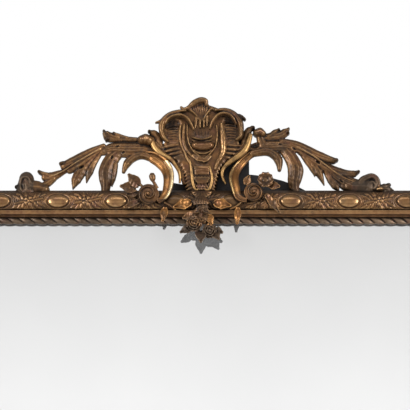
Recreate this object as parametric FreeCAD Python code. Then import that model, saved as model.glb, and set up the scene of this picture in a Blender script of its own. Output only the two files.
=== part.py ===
"""Giltwood overmantel mirror with a pierced carved crest, hung on a wall.

Millimetres. +X to the right, +Y into the wall, +Z up. The origin is the middle of the top rail's back face,
which bears on the wall. The pieces are a mitred and keyed pine frame with its applied ornament, the silvered
plate with its wedges and back boards, the carved crest on its dowels and backing, and two iron ring hangers.
"""
import FreeCAD
import Part
import math
import os
from FreeCAD import Matrix, Vector

# Frame, outer size and the widths of the moulding's bands from the outer edge inwards
FRAME_W = 1260.0
FRAME_H = 1680.0
FRIEZE_W = 46.0
QUIRK_W = 2.0
BAND_W = 10.0
COVE_W = 8.0
SEAT_W = 14.0
RAIL_W = FRIEZE_W + QUIRK_W + BAND_W + COVE_W + SEAT_W

# Heights of the moulding above the wall
EDGE_H = 30.0
FRIEZE_CROWN_H = 53.5
FRIEZE_INNER_H = 50.0
QUIRK_H = 48.0
BAND_H = 58.0
COVE_H = 44.0
SEAT_H = 36.0
LIP_H = 26.0
FRIEZE_CROWN_S = 20.0

# Rebates behind the sight edge, for the plate and for the back boards
GLASS_REBATE_W = 12.0
BOARD_REBATE_W = 24.0
BOARD_REBATE_H = 14.0

# Corner keys
KEY_LEG = 60.0
KEY_T = 4.0
KEY_H = 20.0

# Twisted bead on the sight edge
ROPE_W = 13.0
ROPE_SIDE = 3.0
ROPE_CROWN = 6.0

# Ornament of the frieze
ORNAMENT_PITCH = 140.0
CORNER_CLEAR = 140.0
ORNAMENT_S = 26.0
CABOCHON_LONG = 24.0
CABOCHON_SHORT = 13.5
CABOCHON_RISE = 9.0
CABOCHON_SINK = 3.0
PETAL_COUNT = 5
PETAL_LONG = 7.0
PETAL_SHORT = 4.6
PETAL_RING = 8.0
FLOWER_RISE = 4.0
FLOWER_EYE_R = 4.4
SIDE_LEAF_LONG = 12.0
SIDE_LEAF_SHORT = 5.0
SIDE_LEAF_AT = 21.0
CHIP_SINK = 4.0
CHIP_BASE = 1.3
CHIP_TOP = 0.6

# Leaves over the mitres
CORNER_LEAF_LONG = 108.0
CORNER_LEAF_W = 17.0
CORNER_LEAF_T = 7.0

# Plate, wedges and back boards
GLASS_T = 5.0
GLASS_PLAY = 2.0
WEDGE_LEN = 50.0
WEDGE_PLAY = 1.0
WEDGE_PITCH = 380.0
BOARD_T = 10.0
BOARD_COUNT = 5
BOARD_GAP = 1.5
BOARD_PLAY = 1.5

# Countersunk screws
SCREW_R = 2.0
SCREW_HEAD_R = 4.2
SCREW_HEAD_T = 2.4
BOARD_SCREW_LEN = 24.0
BOARD_SCREW_EDGE = 6.0
BOARD_SCREW_ROW = 60.0

# Blackened board and post behind the crest
BACKING_LEFT = -86.0
BACKING_RIGHT = 264.0
BACKING_TOP = 50.0
BACKING_T = 8.0
BACKING_LAP = 28.0
POST_LEFT = 30.0
POST_RIGHT = 112.0
POST_TOP = 138.0
POST_T = 10.0
BACKING_SCREW_LEN = 22.0
BACKING_SCREW_COUNT = 4
BACKING_SCREW_INSET = 30.0
POST_SCREW_INSET = 18.0
POST_SCREW_UP = 22.0
POST_SCREW_LEN = 15.0
CREST_SCREW_DOWN = 18.0
CREST_SCREW_LEN = 22.0

# Crest dowels
DOWEL_R = 3.0
DOWEL_RAIL = 24.0
DOWEL_CREST = 16.0
DOWEL_IN = 6.0
CARTOUCHE_DOWEL_X = 14.0

# Depths of the carving: how far the volutes and flowers stand in front of the frieze's ornament
VOLUTE_CLEAR = 2.0

# Ring hangers
HANGER_IN = 30.0
HANGER_DOWN = 190.0
PLATE_W = 30.0
PLATE_L = 92.0
PLATE_T = 3.0
PLATE_END_R = 15.0
KNUCKLE_W = 20.0
RING_WIRE_R = 2.5
RING_FIT = 0.05
KNUCKLE_WALL = 2.0
RING_R = 18.0
RING_LEG = 6.0
RING_PLATE_GAP = 0.7
HANGER_SCREW_LEN = 25.0
HANGER_SCREW_COUNT = 3
HANGER_SCREW_PITCH = 24.0
HANGER_SCREW_LOW = 18.0

# Derived places
CREST_BACK = BACKING_T + POST_T
DOWEL_Y = -(CREST_BACK + DOWEL_IN)
RAIL_TOP = RAIL_W / 2
FRAME_CENTRE_Z = RAIL_TOP - FRAME_H / 2
GLASS_S = RAIL_W - GLASS_REBATE_W
BOARD_S = RAIL_W - BOARD_REBATE_W
FRONT = Vector(0, -1, 0)
MARGIN = 20.0

# Each side of the frame: its length, the other side's length, and its turn about +Y from the top
SIDES = {
    "top": (FRAME_W, FRAME_H, 0),
    "right": (FRAME_H, FRAME_W, 90),
    "bottom": (FRAME_W, FRAME_H, 180),
    "left": (FRAME_H, FRAME_W, 270),
}

nodes = {}


def to_side(shape, side):
    """Turns a shape made on the top side, about the frame's centre, to another side of the frame."""
    turned = shape.copy()
    turned.rotate(Vector(0, 0, 0), Vector(0, 1, 0), SIDES[side][2])
    turned.translate(Vector(0, 0, FRAME_CENTRE_Z))
    return turned


def closed_face(edges):
    return Part.Face(Part.Wire(edges))


def polygon_face(points):
    return Part.Face(Part.makePolygon([*points, points[0]]))


def line(a, b):
    return Part.LineSegment(a, b).toShape()


def arc(a, b, c):
    return Part.Arc(a, b, c).toShape()


def ellipsoid(centre, along_x, along_y, along_z):
    ball = Part.makeSphere(1.0)
    scale = Matrix()
    scale.scale(along_x, along_y, along_z)
    shape = ball.transformGeometry(scale)
    shape.translate(centre)
    return shape


def one_shape(shapes):
    """Fuses the shapes into one."""
    return shapes[0].multiFuse(shapes[1:]) if len(shapes) > 1 else shapes[0]


def carve(shape, *others):
    """The shape with the others' space taken out, so that they meet face to face."""
    return shape.cut(Part.makeCompound(list(others)))


def largest(shape):
    """The largest solid of a shape, without the chips that a cut leaves."""
    return max(shape.Solids, key=lambda solid: solid.Volume)


# Frame moulding, mitred and keyed
def moulding_point(half, s, h):
    return Vector(0, -h, half - s)


def moulding_face(half):
    """The moulding's section at the middle of a side whose outer edge is at z = half."""
    def at(s, h):
        return moulding_point(half, s, h)

    quirk_s = FRIEZE_W + QUIRK_W
    band_s = quirk_s + BAND_W
    seat_s = band_s + COVE_W
    cove_mid = at(band_s + COVE_W * 0.3, COVE_H + (BAND_H - COVE_H) * 0.3)
    edges = [
        line(at(0, 0), at(0, EDGE_H)),
        arc(at(0, EDGE_H), at(FRIEZE_CROWN_S, FRIEZE_CROWN_H), at(FRIEZE_W, FRIEZE_INNER_H)),
        line(at(FRIEZE_W, FRIEZE_INNER_H), at(FRIEZE_W, QUIRK_H)),
        line(at(FRIEZE_W, QUIRK_H), at(quirk_s, QUIRK_H)),
        line(at(quirk_s, QUIRK_H), at(quirk_s, BAND_H)),
        line(at(quirk_s, BAND_H), at(band_s, BAND_H)),
        arc(at(band_s, BAND_H), cove_mid, at(seat_s, COVE_H)),
        line(at(seat_s, COVE_H), at(seat_s, SEAT_H)),
        line(at(seat_s, SEAT_H), at(RAIL_W, SEAT_H)),
        line(at(RAIL_W, SEAT_H), at(RAIL_W, LIP_H)),
        line(at(RAIL_W, LIP_H), at(GLASS_S, LIP_H)),
        line(at(GLASS_S, LIP_H), at(GLASS_S, BOARD_REBATE_H)),
        line(at(GLASS_S, BOARD_REBATE_H), at(BOARD_S, BOARD_REBATE_H)),
        line(at(BOARD_S, BOARD_REBATE_H), at(BOARD_S, 0)),
        line(at(BOARD_S, 0), at(0, 0)),
    ]
    return closed_face(edges)


def mitred(face, side):
    """Runs a section along a side and cuts its ends to the mitres."""
    length, across, _ = SIDES[side]
    bar = face.extrude(Vector(length, 0, 0))
    bar.translate(Vector(-length / 2, 0, 0))
    half = across / 2
    outer = length / 2 + MARGIN
    inner = length / 2 - RAIL_W - MARGIN
    points = [(-outer, half + MARGIN), (outer, half + MARGIN),
              (inner, half - RAIL_W - MARGIN), (-inner, half - RAIL_W - MARGIN)]
    depth = BAND_H + 2 * MARGIN
    prism = polygon_face([Vector(x, MARGIN, z) for x, z in points]).extrude(Vector(0, -depth, 0))
    return bar.common(prism)


def plain_rail(side):
    return mitred(moulding_face(SIDES[side][1] / 2), side)


def corner_keys():
    """Thin triangular keys let into saw cuts across the mitres."""
    keys = []
    for sx in (-1, 1):
        for sz in (-1, 1):
            corner = Vector(sx * FRAME_W / 2, -KEY_H, FRAME_CENTRE_Z + sz * FRAME_H / 2)
            points = [corner, corner + Vector(-sx * KEY_LEG, 0, 0), corner + Vector(0, 0, -sz * KEY_LEG)]
            keys.append(polygon_face(points).extrude(Vector(0, -KEY_T, 0)))
    return keys


def rope_face(half):
    """Half-round section of the sight-edge bead, seated in the middle of its step."""
    s0 = RAIL_W - SEAT_W / 2 - ROPE_W / 2
    s1 = s0 + ROPE_W

    def at(s, h):
        return moulding_point(half, s, h)

    shoulder = SEAT_H + ROPE_SIDE
    return closed_face([
        line(at(s0, SEAT_H), at(s0, shoulder)),
        arc(at(s0, shoulder), at((s0 + s1) / 2, shoulder + ROPE_CROWN), at(s1, shoulder)),
        line(at(s1, shoulder), at(s1, SEAT_H)),
        line(at(s1, SEAT_H), at(s0, SEAT_H)),
    ])


# Frieze ornament
def frieze_height(s):
    """Height of the frieze's round face above the wall at a distance from the outer edge."""
    a = Vector(0, EDGE_H, 0)
    b = Vector(FRIEZE_CROWN_S, FRIEZE_CROWN_H, 0)
    c = Vector(FRIEZE_W, FRIEZE_INNER_H, 0)
    circle = arc(a, b, c).Curve
    return circle.Center.y + math.sqrt(circle.Radius ** 2 - (s - circle.Center.x) ** 2)


def ornament_places(side):
    """Places along a side for the oval bosses and for the flowers, which alternate half a pitch apart."""
    step = ORNAMENT_PITCH / 2
    count = int((SIDES[side][0] / 2 - CORNER_CLEAR) / step + 1e-6)
    odd_is_boss = side in ("top", "bottom")
    bosses = [i * step for i in range(-count, count + 1) if (i % 2 == 1) == odd_is_boss]
    flowers = [i * step for i in range(-count, count + 1) if (i % 2 == 1) != odd_is_boss]
    return bosses, flowers


def boss_unit(half):
    centre = Vector(0, -(frieze_height(ORNAMENT_S) - CABOCHON_SINK), half - ORNAMENT_S)
    return ellipsoid(centre, CABOCHON_LONG, CABOCHON_RISE, CABOCHON_SHORT)


def chip(along_x, rise, along_z):
    """A mound with flat chip-carved faces: a six-sided foot sunk into the frieze and a smaller top."""
    def outline(share, y):
        turns = [math.radians(60 * i) for i in range(6)]
        corners = [Vector(share * along_x * math.cos(a), y, share * along_z * math.sin(a)) for a in turns]
        return Part.makePolygon([*corners, corners[0]])

    return Part.makeLoft([outline(CHIP_BASE, CHIP_SINK), outline(CHIP_TOP, -rise)], True, True)


def flower_unit(half):
    """A five-petalled flower with a leaf to each side."""
    centre = Vector(0, -frieze_height(ORNAMENT_S), half - ORNAMENT_S)
    pieces = [chip(FLOWER_EYE_R, FLOWER_RISE + 1, FLOWER_EYE_R)]
    for i in range(PETAL_COUNT):
        petal = chip(PETAL_SHORT, FLOWER_RISE, PETAL_LONG)
        petal.translate(Vector(0, 0, PETAL_RING))
        petal.rotate(Vector(0, 0, 0), Vector(0, 1, 0), 360 / PETAL_COUNT * i)
        pieces.append(petal)
    for sx in (-1, 1):
        leaf = chip(SIDE_LEAF_LONG, FLOWER_RISE - 1, SIDE_LEAF_SHORT)
        leaf.translate(Vector(sx * SIDE_LEAF_AT, 0, 0))
        pieces.append(leaf)
    flower = one_shape(pieces)
    flower.translate(centre)
    return flower


def along(unit, places):
    copies = []
    for x in places:
        copy = unit.copy()
        copy.translate(Vector(x, 0, 0))
        copies.append(copy)
    return copies


# Lofted carving
def carved_form(spine, half_widths, side, crown, ratio=None):
    """A tapering carved form: a flat back along the spine, straight sides and a round crown towards the front.

    The spine is a list of places, the half widths are those at its places. Sections stand square to the spine.
    ratio scales the side and the crown at each place, and follows the half widths when it is left out.
    """
    widest = max(half_widths)
    ratio = ratio or [w / widest for w in half_widths]
    curve = Part.BSplineCurve()
    curve.interpolate([Vector(*p) for p in spine])
    knots = [curve.parameter(Vector(*p)) for p in spine]
    sections = []
    for i in range(len(spine) - 1):
        for part in (0.0, 0.5):
            sections.append((knots[i] + (knots[i + 1] - knots[i]) * part, i, part))
    sections.append((knots[-1], len(spine) - 2, 1.0))
    wires = []
    for at, i, part in sections:
        place = curve.value(at)
        ahead = curve.tangent(at)[0]
        across = ahead.cross(FRONT).normalize()
        out = across.cross(ahead).normalize()
        width = half_widths[i] * (1 - part) + half_widths[i + 1] * part
        share = ratio[i] * (1 - part) + ratio[i + 1] * part
        left, right = place - across * width, place + across * width
        rise = min(crown * share, 0.95 * width)
        left_top, right_top = left + out * side * share, right + out * side * share
        top = place + out * (side * share + rise)
        wires.append(Part.Wire([line(left, left_top), arc(left_top, top, right_top),
                                line(right_top, right), line(right, left)]))
    return Part.makeLoft(wires, True, False)


def turned_form(centre, profile):
    """A form turned about the front-to-back axis through centre: profile is (radius, height) from rim to middle."""
    points = [Vector(r, -h, 0) for r, h in profile]
    edges = [line(Vector(0, 0, 0), points[0])]
    edges += [line(points[i], points[i + 1]) for i in range(len(points) - 1)]
    edges.append(line(points[-1], Vector(0, 0, 0)))
    form = closed_face(edges).revolve(Vector(0, 0, 0), Vector(0, 1, 0), 360)
    form.translate(centre)
    return form


ORNAMENT_FRONT = frieze_height(ORNAMENT_S) - CABOCHON_SINK + CABOCHON_RISE
PROUD = max(ORNAMENT_FRONT, BAND_H) + VOLUTE_CLEAR


def behind(*places):
    """Places on the crest above the rail: x, distance in front of the crest's back, height above the rail's top."""
    return [(x, -(CREST_BACK + forward), RAIL_TOP + z) for x, forward, z in places]


def before(*places):
    """Places in front of the frieze: x, distance in front of its ornament, height above the rail's top."""
    return [(x, -(PROUD + forward), RAIL_TOP + z) for x, forward, z in places]


def rose(place, radius, rise):
    """A full-blown rose as two rings of petals round a bud."""
    profile = [(radius, 0), (radius * 0.96, rise * 0.45), (radius * 0.68, rise * 0.62),
               (radius * 0.62, rise * 0.9), (radius * 0.34, rise * 0.8), (radius * 0.2, rise), (0, rise)]
    return turned_form(Vector(*place), profile)


def volute(place, radius, rise):
    """The rolled end of a scroll, with its eye standing proud."""
    profile = [(radius, 0), (radius, rise * 0.6), (radius * 0.8, rise * 0.85), (radius * 0.6, rise * 0.5),
               (radius * 0.42, rise * 0.5), (radius * 0.3, rise), (0, rise)]
    return turned_form(Vector(*place), profile)


# Hardware
def screw(head, direction, length):
    """A countersunk screw whose flat head lies at the given place and points along direction."""
    cone = Part.makeCone(SCREW_HEAD_R, SCREW_R, SCREW_HEAD_T, head, direction)
    shank = Part.makeCylinder(SCREW_R, length - SCREW_HEAD_T, head + direction * SCREW_HEAD_T, direction)
    return cone.fuse(shank)


# Assembly of the frame
rails = {side: to_side(plain_rail(side), side) for side in SIDES}
keys = corner_keys()
for side in SIDES:
    rails[side] = carve(rails[side], *keys)

rope = {side: to_side(mitred(rope_face(SIDES[side][1] / 2), side), side) for side in SIDES}

bosses, flowers = {}, {}
for side in SIDES:
    half = SIDES[side][1] / 2
    blank = plain_rail(side)
    boss = boss_unit(half).cut(blank)
    flower = largest(flower_unit(half).cut(blank))
    boss_places, flower_places = ornament_places(side)
    if side == "top":
        flower_places = [x for x in flower_places if x != 0]
    bosses[side] = [to_side(b, side) for b in along(boss, boss_places)]
    flowers[side] = [to_side(f, side) for f in along(flower, flower_places)]


def corner_leaf(sx, sz):
    """A three-fingered leaf laid over a mitre, with its root at the outer corner."""
    x0 = sx * FRAME_W / 2
    z0 = FRAME_CENTRE_Z + sz * FRAME_H / 2
    root = ORNAMENT_S * 0.45
    low = -(frieze_height(ORNAMENT_S) - 4)
    fingers = []
    ends = ((CORNER_LEAF_LONG, ORNAMENT_S), (ORNAMENT_S, CORNER_LEAF_LONG))
    for du, dv in ends:
        mid_u, mid_v = (root + du) * 0.55, (root + dv) * 0.55
        spine = [(x0 - sx * u, low, z0 - sz * v)
                 for u, v in ((root, root), (mid_u, mid_v), (du, dv))]
        fingers.append(carved_form(spine, [9, CORNER_LEAF_W, 3], 4, CORNER_LEAF_T))
    spine = [(x0 - sx * u, low - 2, z0 - sz * u) for u in (root, FRIEZE_W * 0.7, FRIEZE_W * 1.25)]
    fingers.append(carved_form(spine, [11, CORNER_LEAF_W, 4], 4, CORNER_LEAF_T))
    return one_shape(fingers)


corner_leaves = {}
for name, sx, sz in (("top_left", -1, 1), ("top_right", 1, 1), ("bottom_left", -1, -1), ("bottom_right", 1, -1)):
    corner_leaves[name] = largest(carve(corner_leaf(sx, sz), *rails.values()))

# Plate, wedges and back boards
glass_w = FRAME_W - 2 * (GLASS_S + GLASS_PLAY)
glass_h = FRAME_H - 2 * (GLASS_S + GLASS_PLAY)
glass_low = Vector(-glass_w / 2, -LIP_H, FRAME_CENTRE_Z - glass_h / 2)
glass = Part.makeBox(glass_w, GLASS_T, glass_h, glass_low)

wedge_t = LIP_H - GLASS_T - BOARD_REBATE_H
wedges = []
for side in SIDES:
    length, across, _ = SIDES[side]
    reach = length / 2 - RAIL_W - WEDGE_LEN
    count = max(1, int(reach / WEDGE_PITCH))
    low = Vector(-WEDGE_LEN / 2, -(LIP_H - GLASS_T), across / 2 - RAIL_W + WEDGE_PLAY)
    wedge = Part.makeBox(WEDGE_LEN, wedge_t, GLASS_REBATE_W - WEDGE_PLAY, low)
    wedges += [to_side(w, side) for w in along(wedge, [reach * i / count for i in range(-count, count + 1)])]

board_w = FRAME_W - 2 * (BOARD_S + BOARD_PLAY)
board_field = FRAME_H - 2 * (BOARD_S + BOARD_PLAY)
board_h = (board_field - (BOARD_COUNT - 1) * BOARD_GAP) / BOARD_COUNT
boards, board_screws = [], []
for i in range(BOARD_COUNT):
    top = FRAME_CENTRE_Z + board_field / 2 - i * (board_h + BOARD_GAP)
    boards.append(Part.makeBox(board_w, BOARD_T, board_h, Vector(-board_w / 2, -BOARD_REBATE_H, top - board_h)))
    for sx in (-1, 1):
        for z in (top - BOARD_SCREW_ROW, top - board_h + BOARD_SCREW_ROW):
            head = Vector(sx * (board_w / 2 - BOARD_SCREW_EDGE), BOARD_T - BOARD_REBATE_H, z)
            board_screws.append(screw(head, FRONT, BOARD_SCREW_LEN))
boards = [carve(board, *board_screws) for board in boards]
for side in ("left", "right"):
    rails[side] = carve(rails[side], *board_screws)

# Blackened backing of the crest, let into the top rail's back
backing_low = RAIL_TOP - BACKING_LAP
backing_mid = (BACKING_LEFT + BACKING_RIGHT) / 2
backing_face = closed_face([
    line(Vector(BACKING_LEFT, 0, RAIL_TOP), Vector(BACKING_LEFT, 0, backing_low)),
    line(Vector(BACKING_LEFT, 0, backing_low), Vector(BACKING_RIGHT, 0, backing_low)),
    line(Vector(BACKING_RIGHT, 0, backing_low), Vector(BACKING_RIGHT, 0, RAIL_TOP)),
    arc(Vector(BACKING_RIGHT, 0, RAIL_TOP), Vector(backing_mid, 0, RAIL_TOP + BACKING_TOP),
        Vector(BACKING_LEFT, 0, RAIL_TOP)),
])
backing = backing_face.extrude(Vector(0, -BACKING_T, 0))
post = Part.makeBox(POST_RIGHT - POST_LEFT, POST_T, POST_TOP, Vector(POST_LEFT, -CREST_BACK, RAIL_TOP))
rails["top"] = carve(rails["top"], backing)

backing_screws = []
span = BACKING_RIGHT - BACKING_LEFT - 2 * BACKING_SCREW_INSET
for i in range(BACKING_SCREW_COUNT):
    x = BACKING_LEFT + BACKING_SCREW_INSET + span * i / (BACKING_SCREW_COUNT - 1)
    head = Vector(x, 0, RAIL_TOP - BACKING_LAP / 2)
    backing_screws.append(screw(head, FRONT, BACKING_SCREW_LEN))
rails["top"] = carve(rails["top"], *backing_screws)

# Carved crest: the cartouche
cartouche_spine = behind(*[(0, 0, z) for z in (0, 22, 48, 66, 80, 95, 113, 132, 152, 172, 190, 202, 212)])
cartouche_widths = [24, 44, 50, 60, 78, 94, 95, 90, 91, 90, 76, 54, 26]
cartouche_depth = [0.8, 0.9, 0.95, 1, 1, 1, 1, 1, 1, 0.95, 0.85, 0.7, 0.5]
cartouche = carved_form(cartouche_spine, cartouche_widths, 9, 18, cartouche_depth)

horn_spine = [(27, 11, 178), (45, 13, 193), (69, 13, 195), (89, 12, 179), (97, 11, 154), (95, 11, 131), (84, 12, 119)]
horn_widths = [7, 9, 10, 10, 8, 6, 4]
horns = {}
for sx in (-1, 1):
    horns[sx] = carved_form(behind(*[(sx * x, f, z) for x, f, z in horn_spine]), horn_widths, 6, 8)
shell_spine = behind((0, 10, 172), (0, 12, 198), (1, 14, 220), (5, 20, 230))
shell = carved_form(shell_spine, [16, 34, 20, 11], 8, 9, [0.8, 1, 0.9, 0.7])
boss_form = ellipsoid(Vector(*behind((-2, 24, 112))[0]), 29, 13, 17)
rim_half = [(40, 16, 180), (40, 18, 136), (29, 20, 104), (0, 22, 80)]
rim_spine = [(-x, f, z) for x, f, z in rim_half] + rim_half[-2::-1]
rim = carved_form(behind(*rim_spine), [5, 5, 5, 6, 5, 5, 5], 5, 4)
strap_half = [(29, 15, 84), (29, 15, 50), (26, 14, 22), (14, 13, 3)]
straps = []
for sx in (-1, 1):
    straps.append(carved_form(behind(*[(sx * x, f, z) for x, f, z in strap_half]), [4, 4, 4, 3], 5, 3.5))

# Carved crest: C-scrolls with their volutes, and the slim scrolls beside the cartouche
SCROLL_WIDTHS = [8, 12, 13, 13, 11, 8, 5]
SCROLL_DEPTH = [0.8, 1, 1, 1, 0.9, 0.8, 0.6]
SCROLL_SIDE = 9.0
SCROLL_CROWN = 8.0
VOLUTE_R = 24.0
VOLUTE_RISE = 14.0
scroll_left_spine = (behind((-147, 4, 90), (-116, 2, 80), (-92, 2, 56), (-84, 15, 27))
                     + before((-87, -9, 0), (-98, 0, -24), (-117, 1, -31)))
scroll_right_spine = (behind((141, 4, 91), (107, 0, 80), (83, 0, 56), (75, 15, 27))
                      + before((77, -9, 0), (87, 0, -24), (103, 1, -30)))
scroll_left = carved_form(scroll_left_spine, SCROLL_WIDTHS, SCROLL_SIDE, SCROLL_CROWN, SCROLL_DEPTH)
scroll_right = carved_form(scroll_right_spine, SCROLL_WIDTHS, SCROLL_SIDE, SCROLL_CROWN, SCROLL_DEPTH)
scroll_left = scroll_left.fuse(volute(before((-134, 0, -11))[0], VOLUTE_R, VOLUTE_RISE))
scroll_right = scroll_right.fuse(volute(before((118, 0, -10))[0], VOLUTE_R, VOLUTE_RISE))
SLIM_WIDTHS = [5, 6, 7, 6, 5, 4, 3]
slim_left = carved_form(behind((-125, 8, 132), (-121, 9, 113), (-107, 9, 93), (-87, 10, 77), (-70, 10, 62),
                               (-59, 9, 44), (-54, 8, 22)), SLIM_WIDTHS, 7, 5)
slim_right = carved_form(behind((115, 8, 136), (107, 9, 113), (95, 9, 96), (78, 10, 80), (60, 10, 63),
                                (50, 9, 44), (46, 8, 24)), SLIM_WIDTHS, 7, 5)

# Carved crest: acanthus sprays, as the spine and the half widths of each finger of the leaf
SPRAY_LEFT = [
    ([(-128, 2, 101), (-150, 2, 102), (-186, 3, 107), (-232, 4, 110)], [11, 14, 17, 15]),
    ([(-222, 6, 108), (-267, 8, 98), (-308, 10, 81), (-343, 14, 69)], [13, 13, 11, 6]),
    ([(-226, 4, 104), (-267, 4, 84), (-299, 6, 54), (-313, 10, 12)], [12, 14, 14, 3]),
    ([(-236, 2, 98), (-260, 2, 67), (-275, 2, 42), (-282, 4, 25)], [8, 10, 8, 3]),
    ([(-296, 5, 68), (-339, 5, 49), (-368, 7, 38), (-395, 12, 43)], [8, 10, 10, 5]),
    ([(-334, 3, 52), (-368, 2, 32), (-392, 2, 19), (-414, 2, 14)], [8, 10, 12, 14]),
    ([(-206, 2, 84), (-217, 2, 52), (-221, 2, 16)], [7, 8, 3]),
    ([(-150, 5, 92), (-178, 6, 78), (-191, 7, 62), (-194, 8, 47)], [8, 9, 8, 3]),
    ([(-146, 5, 124), (-186, 6, 127), (-217, 8, 133), (-240, 12, 140)], [9, 11, 12, 7]),
]
SPRAY_RIGHT = [
    ([(124, 2, 102), (150, 2, 105), (186, 3, 108), (226, 4, 105)], [11, 14, 17, 15]),
    ([(214, 6, 110), (256, 8, 101), (287, 10, 87), (321, 14, 76)], [13, 13, 12, 7]),
    ([(220, 4, 105), (268, 4, 81), (316, 6, 54), (371, 12, 44)], [10, 12, 12, 7]),
    ([(220, 2, 98), (246, 2, 69), (262, 2, 49), (269, 4, 37)], [8, 8, 7, 3]),
    ([(228, 3, 98), (263, 2, 65), (281, 3, 40), (291, 6, 18)], [9, 12, 10, 3]),
    ([(282, 2, 72), (309, 2, 43), (322, 3, 22), (329, 4, 6)], [9, 12, 9, 3]),
    ([(300, 3, 62), (340, 2, 36), (371, 2, 20), (398, 2, 14)], [9, 11, 12, 14]),
    ([(138, 5, 92), (163, 6, 82), (177, 7, 68), (183, 8, 52)], [8, 9, 8, 3]),
    ([(138, 5, 124), (163, 6, 131), (185, 8, 139), (206, 12, 152)], [9, 11, 11, 6]),
]
LEG_LEFT = [(-196, 7, 100), (-226, 9, 78), (-239, 8, 47), (-236, 2, 18), (-238, 1, -4)]
LEG_RIGHT = [(184, 7, 100), (211, 9, 78), (222, 8, 47), (219, 2, 18), (224, 1, -4)]
LEG_WIDTHS = [11, 16, 17, 12, 10]
FINGER_SIDE = 6.0
FINGER_CROWN = 8.0
KNOB_R = 13.0
KNOB_IN = 16.0


def spray(fingers, leg, knob_x, knob_z):
    forms = [carved_form(behind(*spine), widths, FINGER_SIDE, FINGER_CROWN) for spine, widths in fingers]
    forms.append(carved_form(behind(*leg), LEG_WIDTHS, FINGER_SIDE, FINGER_CROWN, [0.7, 1, 1, 1, 1]))
    knob = behind((knob_x, KNOB_IN, knob_z))[0]
    forms.append(ellipsoid(Vector(*knob), KNOB_R, KNOB_R * 0.9, KNOB_R))
    return one_shape(forms)


spray_left = spray(SPRAY_LEFT, LEG_LEFT, -140, 130)
spray_right = spray(SPRAY_RIGHT, LEG_RIGHT, 131, 134)

END_R = 24.0
END_RISE = 22.0
END_LEFT_X = -423.0
END_RIGHT_X = 404.0


def end_volute(sx, x):
    """The rolled end of a spray, lying on the rail, with its tail running back under the leaf."""
    roll = volute(behind((x, 1, END_R - 4))[0], END_R, END_RISE)
    tail_spine = behind((x - sx * 4, 2, 6), (x - sx * 32, 2, 5), (x - sx * 58, 2, 6))
    tail = carved_form(tail_spine, [9, 11, 7], 8, 7)
    return roll.fuse(tail)


end_left = end_volute(-1, END_LEFT_X)
end_right = end_volute(1, END_RIGHT_X)

# Flowers and leaves
BOUQUET_LEFT = [
    ([(-150, 3, -2), (-176, 6, 1), (-199, 9, 6)], [5, 10, 2]),
    ([(-146, 4, 6), (-160, 8, 22), (-178, 11, 36)], [5, 10, 2]),
    ([(-126, 4, 8), (-124, 6, 22), (-122, 7, 42)], [3, 5, 4]),
    ([(-100, 0, -26), (-98, 3, -55), (-97, 6, -82)], [4, 9, 2]),
    ([(-152, 1, -22), (-172, 3, -36), (-190, 4, -46)], [4, 8, 2]),
]
BOUQUET_RIGHT = [
    ([(136, 3, 0), (158, 6, 4), (186, 9, 4)], [5, 9, 2]),
    ([(112, 4, 8), (108, 7, 20), (104, 9, 34)], [4, 6, 2]),
    ([(90, 0, -26), (83, 3, -56), (80, 6, -86)], [4, 9, 2]),
    ([(136, 1, -20), (162, 3, -26), (186, 5, -58)], [4, 7, 2]),
]
PENDANT_STEM = behind((0, 20, 8)) + before((0, -10, -22), (0, 3, -58), (-4, 7, -92))
PENDANT_STEM_WIDTHS = [16, 22, 16, 8]
PENDANT = [
    ([(-8, -1, -30), (-36, 2, -40), (-74, 7, -50)], [6, 11, 2]),
    ([(8, -1, -30), (34, 2, -40), (66, 7, -48)], [6, 11, 2]),
    ([(-14, 7, -82), (-34, 11, -96), (-50, 15, -112)], [6, 9, 2]),
    ([(0, 7, -90), (-4, 13, -112), (-6, 19, -132)], [6, 9, 2]),
    ([(14, 7, -96), (30, 13, -112), (38, 17, -126)], [6, 9, 2]),
    ([(6, 5, -62), (20, 11, -66), (32, 17, -62)], [5, 7, 2]),
]
LEAF_SIDE = 2.5
LEAF_CROWN = 4.0


def bunch(leaves):
    return [carved_form(before(*spine), widths, LEAF_SIDE, LEAF_CROWN) for spine, widths in leaves]


bouquet_left = one_shape(bunch(BOUQUET_LEFT))
bouquet_right = one_shape(bunch(BOUQUET_RIGHT) + [rose(before((148, 4, 24))[0], 17, 12)])
pendant = one_shape([carved_form(PENDANT_STEM, PENDANT_STEM_WIDTHS, LEAF_SIDE, LEAF_CROWN), *bunch(PENDANT),
                     rose(before((-25, 5, -80))[0], 20, 18), rose(before((13, 7, -104))[0], 21, 19)])

# Fitting the crest: each piece gives way to the ones before it
top_rail = rails["top"]
horns = {sx: largest(carve(horn, cartouche)) for sx, horn in horns.items()}
shell = largest(carve(shell, cartouche, *horns.values()))
rim = largest(carve(rim, cartouche, shell, *horns.values()))
boss_form = largest(carve(boss_form, cartouche, rim))
straps = [largest(carve(strap, cartouche, rim)) for strap in straps]
scroll_left = largest(carve(scroll_left, cartouche, top_rail))
scroll_right = largest(carve(scroll_right, cartouche, top_rail, post))
slim_left = largest(carve(slim_left, cartouche, scroll_left, horns[-1]))
slim_right = largest(carve(slim_right, cartouche, scroll_right, horns[1], post))
spray_left = largest(carve(spray_left, top_rail, scroll_left, slim_left, cartouche, horns[-1]))
spray_right = largest(carve(spray_right, top_rail, scroll_right, slim_right, cartouche, horns[1]))
end_left = largest(carve(end_left, top_rail, spray_left))
end_right = largest(carve(end_right, top_rail, spray_right))
pendant = largest(carve(pendant, top_rail, cartouche, scroll_left, scroll_right, *straps))
bouquet_left = carve(bouquet_left, scroll_left, spray_left, pendant)
bouquet_right = carve(bouquet_right, scroll_right, spray_right, pendant)

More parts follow.
